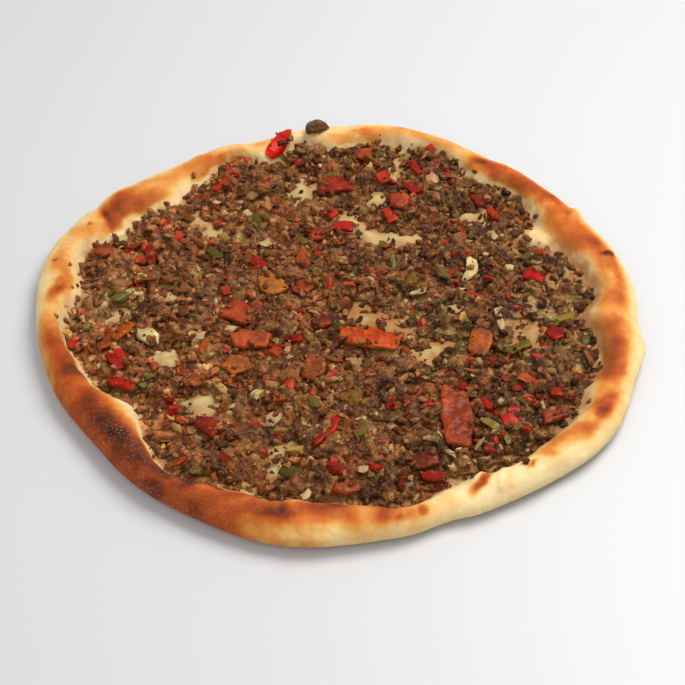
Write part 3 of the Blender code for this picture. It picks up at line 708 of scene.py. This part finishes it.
# How many shapes, how often each ball is subdivided, its knobs, and a seed.
lump_shapes = knobbly(16, 3, 16, 41)
crumb_shapes = knobbly(24, 2, 6, 43)
grain_shapes = knobbly(8, 1, 4, 47)
dice_shapes = diced(12, 53)
soft_shapes = knobbly(12, 2, 4, 59)
sorts = {"lump": lump_shapes, "crumb": crumb_shapes, "grain": grain_shapes, "die": dice_shapes}
print("triangles:", {sort: len(shapes[0][1]) for sort, shapes in sorts.items()})

# %% Write many bits into one mesh
def mesh_of(name, points, triangles):
    mesh = bpy.data.meshes.new(name)
    mesh.from_pydata(points, [], triangles)
    mesh.shade_smooth()
    return new_object(name, mesh)


def joined(parts):
    """The points and triangles of several meshes as those of one."""
    offsets = np.cumsum([0] + [len(points) for points, triangles in parts])
    triangles = [part[1] + offset for part, offset in zip(parts, offsets)]
    return np.concatenate([points for points, _ in parts]), np.concatenate(triangles)


def heaped(shapes, bits, draw):
    """The points, triangles and colours of many bits.

    A bit is its place, its half sizes, its turn and its colour.
    """
    parts, tints = [], []
    for place, size, turn, tint in bits:
        shape, triangles = shapes[draw.randrange(len(shapes))]
        turned = (shape * np.array(size)) @ np.array(turn.to_matrix()).T
        parts.append((turned + np.array(place), triangles))
        tints.append(np.tile(tint, (len(shape), 1)))
    return *joined(parts), np.concatenate(tints)


def pile(name, shapes, bits, draw):
    """One mesh of many bits."""
    points, triangles, tints = heaped(shapes, bits, draw)
    obj = mesh_of(name, in_the_box(points), triangles)
    add_attribute(obj, "tint", tints)
    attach(obj, "root")
    return obj


def any_turn(draw):
    return Quaternion([draw.gauss(0, 1) for _ in range(4)]).normalized()


# %% [markdown]
# ## Where the crumbs lie
# The granules are two to four millimetres across and stick together in clumps with hollows between them.
# They follow an uneven lattice, so that they neither stack up nor leave holes, and noise raises or lowers
# the heap under them. Past its edge they thin out over the bare dough, because a spoon never leaves a
# clean border. They keep off the larger slices, but some loose ones lie on their edges.

# %% The uneven heap
draw = random.Random(5)
REACH = 118 * MM  # nothing is strewn farther from the middle
ROW = 0.87  # the rows of a triangular lattice are this many pitches apart


def lattice(pitch):
    """Points of an uneven triangular lattice over the whole pizza, in metres."""
    rows = int(REACH / (pitch * ROW)) + 1
    for row in range(-rows, rows + 1):
        for column in range(-rows, rows + 1):
            x = pitch * (column + 0.5 * (row % 2)) + draw.uniform(-0.4, 0.4) * pitch
            y = pitch * row * ROW + draw.uniform(-0.4, 0.4) * pitch
            if math.hypot(x, y) < REACH:
                yield x, y


def ground(x, y):
    """The height to lie on, and how likely something lies there."""
    if not np.isnan(cell(heap_map, x, y)):
        thin = cell(thin_map, x, y)
        border = bell(cell(from_bare, x, y), 4) * (0.5 + 0.6 * patches(x, y, 9, 0.6))
        height = cell(heap_map, x, y) + (0.9 * clumping(x, y) - 0.8 * thin) * MM
        return height, 1 - max(border, 0.9 * thin)
    height, apart = cell(dough_map, x, y), cell(from_meat, x, y)
    bearing = math.degrees(math.atan2(y, x)) % 360
    past_the_lip = math.hypot(x, y) - round_the_rim(lips, bearing)
    if past_the_lip > -12 * MM:  # beside the rim the mince runs up to its lip, and in places on to it
        climb = max(1.0 + 2.4 * patches(x, y, 8, 0.9), 0.4) * MM
        chance = 0.95 * bell(apart, 6) * bell(max(0, past_the_lip), climb)
        return height, max(chance, 0.006 * (apart < 8))
    return height, 0.9 * bell(apart, 2.4) + 0.15 * (apart < 9)


print("in the middle the mince lies", round(ground(0, 0)[0] / MM, 1), "mm above the table")

# %% The colours of mince
BROWNS = (
    (114, 65, 35), (97, 52, 27), (130, 81, 47), (86, 43, 21), (120, 68, 34), (106, 61, 34), (140, 91, 55),
)
TANS = ((156, 104, 56), (170, 122, 70), (146, 96, 48))
RUDDY = ((150, 66, 30), (132, 52, 24))
GREASE, DOUGH = np.array(shade(144, 92, 46)), np.array(shade(172, 140, 86))


def meat_tint(x, y):
    """The colour of a granule: mostly brown, now and then fat or red with juice."""
    chance = draw.random()
    colours = BROWNS if chance < 0.76 else TANS if chance < 0.92 else RUDDY
    patch = 1 + 0.6 * patches(x, y, 15, 0.7) + 0.4 * patches(x, y, 6, 0.2)
    paler_left = math.exp(-x / (205 * MM))  # the mince is paler towards the left
    level = max(0.55, patch) * paler_left * draw.uniform(0.62, 1.42)
    return [channel * level for channel in shade(*draw.choice(colours))]


# %% Scatter the granules
LONG_WIDE_THICK = ((0.95, 1.4), (0.75, 1.1), (0.65, 0.95))  # least and most of each half size, in radii


def meat_bits(pitch, radii, sink, likely, climbing=False):
    """Bits of mince on a lattice. Pitch and radii are in millimetres, and sink is in radii."""
    bits = []
    for x, y in lattice(pitch * MM):
        radius = draw.uniform(*radii) * MM
        height, chance = ground(x, y)
        if climbing and cell(into_topping, x, y) in (1, 2):  # on the edge of a slice
            height, chance = cell(topping_heights, x, y) + 0.6 * radius * sink, 0.7
        elif cell(from_topping, x, y) * MM < 0.45 * radius:
            continue
        if draw.random() > chance * likely(x, y):
            continue
        size = [radius * draw.uniform(*ends) for ends in LONG_WIDE_THICK]
        bits.append(((x, y, height - sink * radius), size, any_turn(draw), meat_tint(x, y)))
    return bits


def on_clumps(x, y):
    return ramp_up(clumping(x, y), 0.0, 0.6)


crumbs = meat_bits(2.65, (1.1, 2.0), 0.40, lambda x, y: 0.95)
risen = meat_bits(2.9, (1.0, 1.9), -0.45, on_clumps)
chunks = meat_bits(6.0, (2.1, 3.4), 0.15, lambda x, y: 0.85 * on_clumps(x, y))
strays = meat_bits(3.2, (0.8, 1.8), -0.8, lambda x, y: 0.40, climbing=True)
grains = meat_bits(2.8, (0.35, 0.8), -1.6, lambda x, y: 0.5, climbing=True)
print("crumbs", len(crumbs), "risen", len(risen), "chunks", len(chunks), "grains", len(grains))

# %% The mince's finish
fried = Finish("fried mince")
grain_shade_and_bump = fried.cells(620.0)
level = fried.sum(fried.sum(1.22, fried.noise(900.0, 4.0), 0.5), fried.noise(320.0), 0.3)
# painted shade: the colour darkens towards the borders of the small grains, where they touch
level = fried.sum(level, grain_shade_and_bump, -0.62)
mince_colour = fried.brighten(fried.attribute("tint", "Color"), level)
fatty = fried.spread(fried.noise(560.0, 3.0), 0.2, 0.5, 0.0, 0.35)
fried.set(Base_Color=fried.blend(fatty, mince_colour, shade(166, 110, 56)))
fried.bump(fried.sum(fried.noise(900.0, 4.0), grain_shade_and_bump, -1.1), 0.0008, 0.9)
fried.set(Subsurface_Weight=0.28, Subsurface_Radius=(1.0, 0.45, 0.25), Subsurface_Scale=0.0012)
fried.set(Roughness=0.42, Specular_IOR_Level=0.2, Specular_Tint=(1.0, 0.78, 0.55, 1.0))
fried.set(Coat_Weight=0.06, Coat_Roughness=0.12)

# %% [markdown]
# ## One fused mass
# Fat and juice bake the granules together, so a heap of mince has no gaps to look through, only dents.
# The bed and its granules are wrapped in one fine net, which melts them into each other. *Decimate* then
# takes triangles from the flattest places first. Each point is coloured by the granule nearest to it, and
# painted darker in the dents between two, as painted shade. Where no granule lies near, the greasy bed or
# the bare dough shows.

# %% Wrap the bed and its granules
MOST_TRIANGLES = 194_000


def triangles_of(obj):
    obj.data.calc_loop_triangles()
    corners = np.empty(len(obj.data.loop_triangles) * 3, np.int32)
    obj.data.loop_triangles.foreach_get("vertices", corners)
    return corners.reshape(-1, 3)


def mend(obj):
    """Takes out faces that lie twice on the same corners, as a net can hold once it has been thinned."""
    work = bmesh.new()
    work.from_mesh(obj.data)
    on_corners = {}
    for face in work.faces:
        on_corners.setdefault(frozenset(corner.index for corner in face.verts), []).append(face)
    doubled = [face for faces in on_corners.values() if len(faces) > 1 for face in faces]
    bmesh.ops.delete(work, geom=doubled, context="FACES")
    open_edges = sum(len(edge.link_faces) < 2 for edge in work.edges)
    work.to_mesh(obj.data)
    work.free()
    print(len(doubled), "doubled faces out,", open_edges, "open edges, repaired:", obj.data.validate())


layers = [
    (points_of(meat_bed), triangles_of(meat_bed)),
    heaped(crumb_shapes, crumbs + risen, draw)[:2],
    heaped(lump_shapes, chunks, draw)[:2],
]
bpy.data.objects.remove(meat_bed)
fused = melted(mesh_of("loose_layers", *joined(layers)), "fused", 0.65 * MM, 1)
fewer = fused.modifiers.new("fewer triangles", "DECIMATE")
fewer.ratio = min(1.0, MOST_TRIANGLES / len(triangles_of(fused)))
mass = evaluated(fused, "mince_mass")
mend(mass)
mass.data.shade_smooth()
print("the mass has", len(triangles_of(mass)), "triangles")

# %% Colour the mass by its granules
granules = crumbs + risen + chunks
finder = KDTree(len(granules))
for index, (place, *_) in enumerate(granules):
    finder.insert(place, index)
finder.balance()
tints = np.array([tint for *_, tint in granules])
girths = np.array([sum(size) / 3 for _, size, *_ in granules])
mass_points = points_of(mass)
mass_tint = np.empty_like(mass_points)
for number, point in enumerate(mass_points):
    (_, first, near), (_, second, far) = finder.find_n(point, 2)
    snug = near / girths[first]
    shared = 0.5 * ramp_up(near / far, 0.85, 1.0)
    tint = (1 - shared) * tints[first] + shared * tints[second]
    fat = 0.75 * ramp_up(patches(*point[:2], 11, point[2]), -0.1, 0.4)  # some dents are full of it
    dent = ramp_up(snug, 0.75, 1.25)
    bare = ramp_up(snug, 1.3, 1.9)
    # painted shade: the tint is darkened in the dents between granules, and grease fills some of those
    # dents instead
    painted_dent_shade_and_grease = tint * (1 - 0.75 * dent * (1 - fat)) * (1 - fat * dent) + fat * dent * GREASE
    thin = cell(thin_map, point[0], point[1])
    mass_tint[number] = (1 - bare) * painted_dent_shade_and_grease + bare * ((1 - thin) * GREASE + thin * DOUGH)
mass_points += normals_of(mass) * (0.16 * MM * lumps(mass_points, 1.1, 33))[:, None]
set_points(mass, mass_points)
add_attribute(mass, "tint", mass_tint)
mass.data.materials.append(fried.material)
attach(mass, "root")
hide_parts("meat")
print("the mass is", [round(side / MM) for side in mass.dimensions], "mm")

# %% Loose crumbs and grains on the mass
mince_piles = [mass]
loose_bits = {"mince_crumbs": (crumb_shapes, strays), "mince_grains": (grain_shapes, grains)}
for name, (shapes, bits) in loose_bits.items():
    crumb_pile = pile(name, shapes, bits, draw)
    crumb_pile.data.materials.append(fried.material)
    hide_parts("meat")
    mince_piles.append(crumb_pile)
    print(name, len(crumb_pile.data.polygons), "triangles")

# %% [markdown]
# ## The larger vegetables
# Each larger piece is a soft skin over its own solid, roughened as cut flesh is. Its colour sits on its
# points, because no two pieces on a baked pizza are alike: some are raw red, some have gone orange in the
# oven, some are nearly brown. Streaks run along or across a piece, so they are drawn in its own
# directions, found from how its points spread.

# %% Colours of the pieces
PIECE_COLOURS = {
    "amber": {
        "slice": (184, 62, 14), "brown": (152, 88, 46), "small": (152, 76, 30), "pink": (132, 70, 42),
        "right": (144, 76, 36), "gold": (172, 112, 52), "gold_small": (150, 72, 24),
        "strip": (158, 70, 16), "thin": (156, 62, 22), "back": (170, 52, 16),
    },
    "tomato": {
        "long": (150, 62, 32), "back": (150, 38, 16), "left_upper": (156, 56, 28),
        "left_lower": (170, 78, 40), "front": (104, 40, 20), "deep": (126, 30, 14), "edge": (124, 46, 24),
        "rear": (142, 48, 28), "side": (160, 62, 32), "middle": (142, 46, 22), "corner": (136, 56, 26),
        "dark": (130, 44, 24), "skin": (104, 28, 16),
    },
    "chilli": {
        "ring": (92, 84, 18), "front": (70, 66, 18), "rear": (92, 78, 32), "middle": (112, 88, 34),
        "pale": (128, 92, 38), "strip": (80, 64, 22),
    },
    "onion": {
        "slice": (190, 164, 108), "curl": (184, 158, 100), "sliver_back": (172, 144, 98),
        "sliver_right": (168, 138, 90), "left": (176, 144, 96), "pale": (158, 122, 78),
        "strip": (168, 126, 58),
    },
    "pepper": {
        "rim": (204, 16, 8), "rear_right": (126, 34, 14), "edge": (134, 34, 18),
        "low_right": (140, 38, 14), "round": (138, 24, 10), "sliver": (136, 20, 12),
        "right": (152, 18, 16), "rear": (174, 50, 30), "side": (168, 50, 26), "curl_back": (172, 44, 22),
        "left": (146, 36, 20), "far": (162, 36, 16),
    },
}
PEPPER_RED = (162, 28, 14)
# What the oven leaves of a piece's red, green and blue.
BAKED = {
    "tomato": (0.64, 0.49, 0.32), "amber": (0.64, 0.52, 0.32), "pepper": (0.70, 0.56, 0.30),
    "chilli": (0.60, 0.47, 0.28), "onion": (0.82, 0.86, 0.90),
}
# The roughness of cut flesh in millimetres.
FLESH = {"tomato": 0.65, "amber": 0.5, "pepper": 0.22, "chilli": 0.3, "onion": 0.25}
# Streaks: how many, how strong and of what colour.
STREAKS = {
    "tomato": (16, 0.08, shade(200, 118, 66)), "amber": (24, 0.10, shade(220, 126, 44)),
    "pepper": (5, 0.12, shade(180, 60, 28)), "chilli": (7, 0.25, shade(140, 124, 46)),
    "onion": (10, 0.30, shade(214, 190, 138)),
}
print("colours for", sum(map(len, PIECE_COLOURS.values())), "of", len(topping_nodes), "pieces")

# %% Streaks and patches
def own_directions(points):
    """How far along and across a flat piece each point lies, -1 to 1."""
    middle = points - points.mean(axis=0)
    spread = np.linalg.eigh(np.cov(middle[:, :2].T))[1]
    long_way = spread[:, 1] * np.sign(spread[0, 1])
    along, aside = middle[:, :2] @ long_way, middle[:, :2] @ np.array((-long_way[1], long_way[0]))
    return along / np.abs(along).max(), aside / np.abs(aside).max()


def slice_tints(node, kind, points, seed):
    """The colours of a piece: its own, paler along its streaks, and lighter or darker in patches."""
    along, sideways = own_directions(points)
    base = np.array(shade(*PIECE_COLOURS[kind].get(node.removeprefix(kind + "_"), PEPPER_RED)))
    level = 1.05 + 0.6 * lumps(points, 5, seed + 2) + 0.3 * lumps(points, 1.5, seed + 3)
    level *= 1 - 0.2 * along * math.cos(seed) - 0.2 * sideways * math.sin(seed)
    colour = base * level[:, None]
    count, strength, pale = STREAKS[kind]
    fan = sideways * (1.4 - 0.5 * along) if kind == "onion" else along * (1.2 - 0.4 * sideways)
    streak = strength * ramp_up(np.sin(count * fan + 5 * lumps(points, 5, seed + 4)), 0.2, 1.0)
    streak *= 1 + 1.5 * lumps(points, 3, seed + 6)
    if node == "amber_slice":  # its fibres show best
        streak *= 3
    if kind in ("tomato", "amber"):  # blotches, where the skin came off
        streak += 0.4 * ramp_up(lumps(points, 6, seed + 12), 0.0, 0.6)
    if kind == "amber":  # the pale rind along one side
        streak += 0.55 * ramp_up(-sideways, 0.5, 0.95)
    share = np.clip(streak, 0, 0.8)[:, None]
    return np.clip((colour * (1 - share) + np.array(pale) * share) * BAKED[kind], 0, 1)


# %% One piece
def dressed_slice(node):
    """A soft skin over a topping, with cut flesh and its colour on its points."""
    parts = frame["record"]["subparts"]
    kind = next(part["material_slot"] for part in parts if part["node"] == node)
    piece = soft_skin(node, node + "_cut", 0.5 * MM, 8)
    points = points_of(piece)
    seed = (sum(map(ord, node)) * 7) % 97
    rough = FLESH[kind] * (lumps(points, 4.0, seed) + 0.45 * lumps(points, 1.6, seed + 1))
    points += normals_of(piece) * (rough * MM)[:, None]
    level_points = points * np.array((1, 1, 0))
    for axis in (0, 1):  # a wandering outline
        points[:, axis] += 0.8 * lumps(level_points, 8, seed + 7 + axis) * MM
        points[:, axis] += 0.3 * lumps(level_points, 3, seed + 9 + axis) * MM
    points[:, 2] += 0.6 * lumps(level_points, 9, seed + 5) * MM
    set_points(piece, points)
    add_attribute(piece, "tint", slice_tints(node, kind, points, seed))
    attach(piece, "root")
    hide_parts(node)
    return piece, kind


# %% Finishes of the vegetables
def flesh_finish(name, roughness, translucency, scale, depth, coat, gleam):
    finish = Finish(name)
    pulp, blotches = finish.noise(scale, 4.0), finish.noise(240.0)
    colour = finish.brighten(finish.attribute("tint", "Color"), finish.sum(1.0, pulp, 0.45))
    shine = finish.spread(blotches, -0.4, 0.4, roughness - 0.08, roughness + 0.14)
    finish.set(Base_Color=colour, Roughness=shine)
    finish.bump(finish.sum(pulp, blotches, 0.6), depth, 0.8)
    finish.set(Subsurface_Weight=translucency, Subsurface_Scale=0.0015)
    finish.set(Subsurface_Radius=(1.0, 0.3, 0.15), Coat_Weight=coat, Coat_Roughness=0.14)
    finish.set(Specular_IOR_Level=0.15, Specular_Tint=(*gleam, 1.0))
    return finish.material


# Name, roughness, translucency, scale of the noise, depth of the bump, coat and colour of the gleam.
VEGETABLE_FINISHES = {
    "tomato": flesh_finish("baked tomato", 0.38, 0.2, 520.0, 0.0006, 0.12, (1.0, 0.5, 0.3)),
    "amber": flesh_finish("baked orange tomato", 0.38, 0.2, 480.0, 0.0006, 0.12, (1.0, 0.6, 0.3)),
    "pepper": flesh_finish("red pepper", 0.30, 0.1, 350.0, 0.0004, 0.10, (1.0, 0.3, 0.25)),
    "chilli": flesh_finish("green chilli", 0.36, 0.12, 350.0, 0.0004, 0.12, (0.9, 0.9, 0.4)),
    "onion": flesh_finish("soft onion", 0.42, 0.25, 300.0, 0.0004, 0.10, (1.0, 0.9, 0.75)),
}

# %% Dress all the pieces
slice_triangles = 0
for node in topping_nodes:
    piece, kind = dressed_slice(node)
    piece.data.materials.append(VEGETABLE_FINISHES[kind])
    slice_triangles += 2 * len(piece.data.polygons)
print(len(topping_nodes), "pieces,", slice_triangles, "triangles")

# %% [markdown]
# ## The clump on the far rim
# One cluster of mince rode up on to the rim. It is a soft skin over its own solid, with crumbs pushed
# out.

# %% Make the clump
clump = soft_skin("meat_clump", "rim_clump", 0.5 * MM, 2)
knob = points_of(clump)
swell = 0.9 * lumps(knob, 2.8, 61) + 0.35 * lumps(knob, 1.2, 62) - 0.2
set_points(clump, knob + normals_of(clump) * (swell * MM)[:, None])
level = 0.9 + 0.6 * lumps(knob, 2.5, 63)
add_attribute(clump, "tint", np.array(shade(112, 76, 46)) * level[:, None])
clump.data.materials.append(fried.material)
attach(clump, "root")
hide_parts("meat_clump")
print("the clump has", len(knob), "points")

# %% [markdown]
# ## Small bits of vegetable
# Between the crumbs lie hundreds of diced bits. Those that catch the eye are placed one by one, and the
# rest are strewn at random. Each is dropped straight down on to what is already there, so that none
# floats.

# %% The small bits
# x, y, length and width in millimetres, from the middle of the pizza.
NAMED_BITS = {
    "pepper": (
        (29, 83, 8, 4), (36, 74, 7, 4), (39, -99, 7, 4), (-90, 37, 7, 6), (-84, 28, 6, 3),
        (-69, 39, 5, 5), (-32, 24, 8, 3), (71, 58, 7, 4), (70, -67, 6, 5), (-49, 87, 4, 4),
        (-46, 83, 4, 3), (-43, 96, 4, 3), (-62, 73, 4, 4), (-32, 75, 4, 3), (-24, 50, 4, 3),
        (-46, 7, 4, 3), (-3, 12, 4, 3), (44, 106, 4, 4), (51, 29, 4, 3), (66, 13, 4, 3), (65, -34, 4, 3),
        (83, -33, 5, 3), (73, -50, 4, 4), (64, -62, 4, 3), (71, -62, 4, 3), (66, -76, 5, 3),
        (75, -73, 4, 3), (22, -58, 4, 3), (-66, -56, 4, 3), (-63, -61, 4, 3), (-42, -88, 5, 3),
        (-14, -6, 4, 3), (-18, -49, 4, 3), (0, -43, 4, 3), (-107, -23, 7, 6), (60, -58, 6, 4),
    ),
    "amber": (
        (-65, -75, 8, 4), (-60, -87, 11, 4), (16, 95, 8, 6), (-17, -44, 6, 5), (-80, 15, 10, 4),
        (-14, 10, 8, 7), (-96, 30, 5, 4), (-30, 60, 7, 5), (-8, 70, 6, 5), (44, 60, 7, 6), (52, 84, 6, 5),
        (20, 20, 6, 5), (-62, 10, 7, 5), (-24, -30, 6, 5), (38, -50, 7, 5), (-44, -60, 6, 4),
        (78, -46, 6, 5), (-66, 58, 7, 5),
    ),
    "chilli": (
        (25, -64, 9, 5), (12, -72, 6, 5), (97, -7, 10, 4), (104, -19, 7, 4), (25, 23, 8, 3),
        (-71, 55, 8, 3), (-90, 3, 6, 3), (-15, 41, 5, 4), (-27, 18, 5, 4), (62, -69, 6, 5),
        (-6, 116, 5, 4), (10, 46, 6, 4), (46, 16, 6, 3), (-52, 30, 6, 4), (-34, 54, 6, 4), (60, 40, 5, 4),
        (84, 30, 5, 3), (-8, -60, 5, 4), (40, -78, 5, 4), (-76, -46, 5, 4), (-2, 86, 5, 4),
        (34, 100, 5, 4),
    ),
    "onion": (
        (66, 31, 6, 4), (54, -9, 6, 3), (52, -3, 6, 3), (56, -80, 8, 2), (44, 78, 5, 4), (44, 44, 10, 3),
        (16, 31, 5, 3), (-106, 14, 4, 2), (-54, 15, 4, 2), (-25, -48, 5, 5), (-68, -33, 9, 8),
        (-57, -20, 8, 7), (24, -52, 5, 3), (29, -8, 4, 3), (37, -46, 4, 3), (31, -43, 4, 3),
        (59, -36, 4, 3), (71, -37, 4, 3), (-46, -47, 7, 5), (-62, -71, 6, 4), (-11, -103, 4, 4),
        (-48, 40, 6, 5), (-30, 36, 5, 5), (2, 90, 5, 4), (-50, 60, 6, 4), (-38, 72, 7, 5), (70, 44, 6, 4),
        (86, 8, 5, 3), (-14, -80, 5, 4), (46, -90, 5, 3),
    ),
}
BIT_COLOURS = {
    "pepper": ((150, 30, 14), (132, 24, 12), (154, 44, 18), (118, 30, 14)),
    "amber": ((148, 66, 26), (136, 78, 38), (142, 50, 20), (126, 68, 32), (150, 92, 46), (132, 76, 40)),
    "chilli": ((82, 72, 22), (68, 60, 20), (100, 82, 30), (92, 70, 28), (110, 94, 36)),
    "onion": ((156, 120, 74), (138, 100, 58), (172, 146, 96), (130, 90, 50), (146, 110, 54)),
}
BIT_SHAPES = {
    "pepper": dice_shapes, "chilli": dice_shapes, "amber": dice_shapes + soft_shapes,
    "onion": dice_shapes[:3] + soft_shapes,
}
STREWN = {"pepper": 100, "amber": 280, "chilli": 140, "onion": 280}
CUT_EDGE = math.radians(48)  # edges sharper than this look cut, others look soft
STREWN_REACH = 112 * MM  # they stay farther in than the crumbs
FRAME_SHIFT = (-0.62, 0.99)  # from the middle of the pizza to the frame's origin, in millimetres
print("placed by hand:", {kind: len(named) for kind, named in NAMED_BITS.items()})

# %% Drop bits on the mince
graph = bpy.context.evaluated_depsgraph_get()
drop_trees = [BVHTree.FromObject(obj, graph) for obj in [bread, *mince_piles]]


def top_at(x, y):
    """Height of the highest surface at a point, whatever it is."""
    return max(height_below(tree, x, y) or 0.0 for tree in drop_trees)


def dropped(x, y, length, width, colours, sink=0.1):
    """One bit, lying nearly flat on what is under it."""
    thick = min(length, width) * draw.uniform(0.5, 0.9)
    size = [side / 2 * MM for side in (length, width, thick)]
    turn = Quaternion((0, 0, 1), draw.uniform(0, math.tau)) @ Quaternion((1, 0, 0), draw.gauss(0, 0.3))
    level = draw.uniform(0.75, 1.2)
    tint = [channel * level for channel in shade(*draw.choice(colours))]
    tilt = Quaternion((0, 1, 0), draw.gauss(0, 0.3))
    return ((x, y, top_at(x, y) - sink * size[2]), size, turn @ tilt, tint)


for kind, named in NAMED_BITS.items():
    name, colours = kind + "_bits", BIT_COLOURS[kind]
    bits = []
    for x, y, length, width in named:
        x, y = (x + FRAME_SHIFT[0]) * MM, (y + FRAME_SHIFT[1]) * MM
        bits.append(dropped(x, y, length, width, colours))
    while len(bits) < len(named) + STREWN[kind]:
        bearing, radius = draw.uniform(0, math.tau), STREWN_REACH * math.sqrt(draw.random())
        x, y = radius * math.cos(bearing), radius * math.sin(bearing)
        if np.isnan(cell(heap_map, x, y)) or cell(from_topping, x, y) < 2:
            continue
        bits.append(dropped(x, y, draw.uniform(2.0, 5.0), draw.uniform(1.6, 3.2), colours, 0.6))
    bit_pile = pile(name, BIT_SHAPES[kind], bits, draw)
    bit_pile.data.set_sharp_from_angle(angle=CUT_EDGE)
    bit_pile.data.materials.append(VEGETABLE_FINISHES[kind])
    print(name, len(bits), "bits,", len(bit_pile.data.polygons), "triangles")
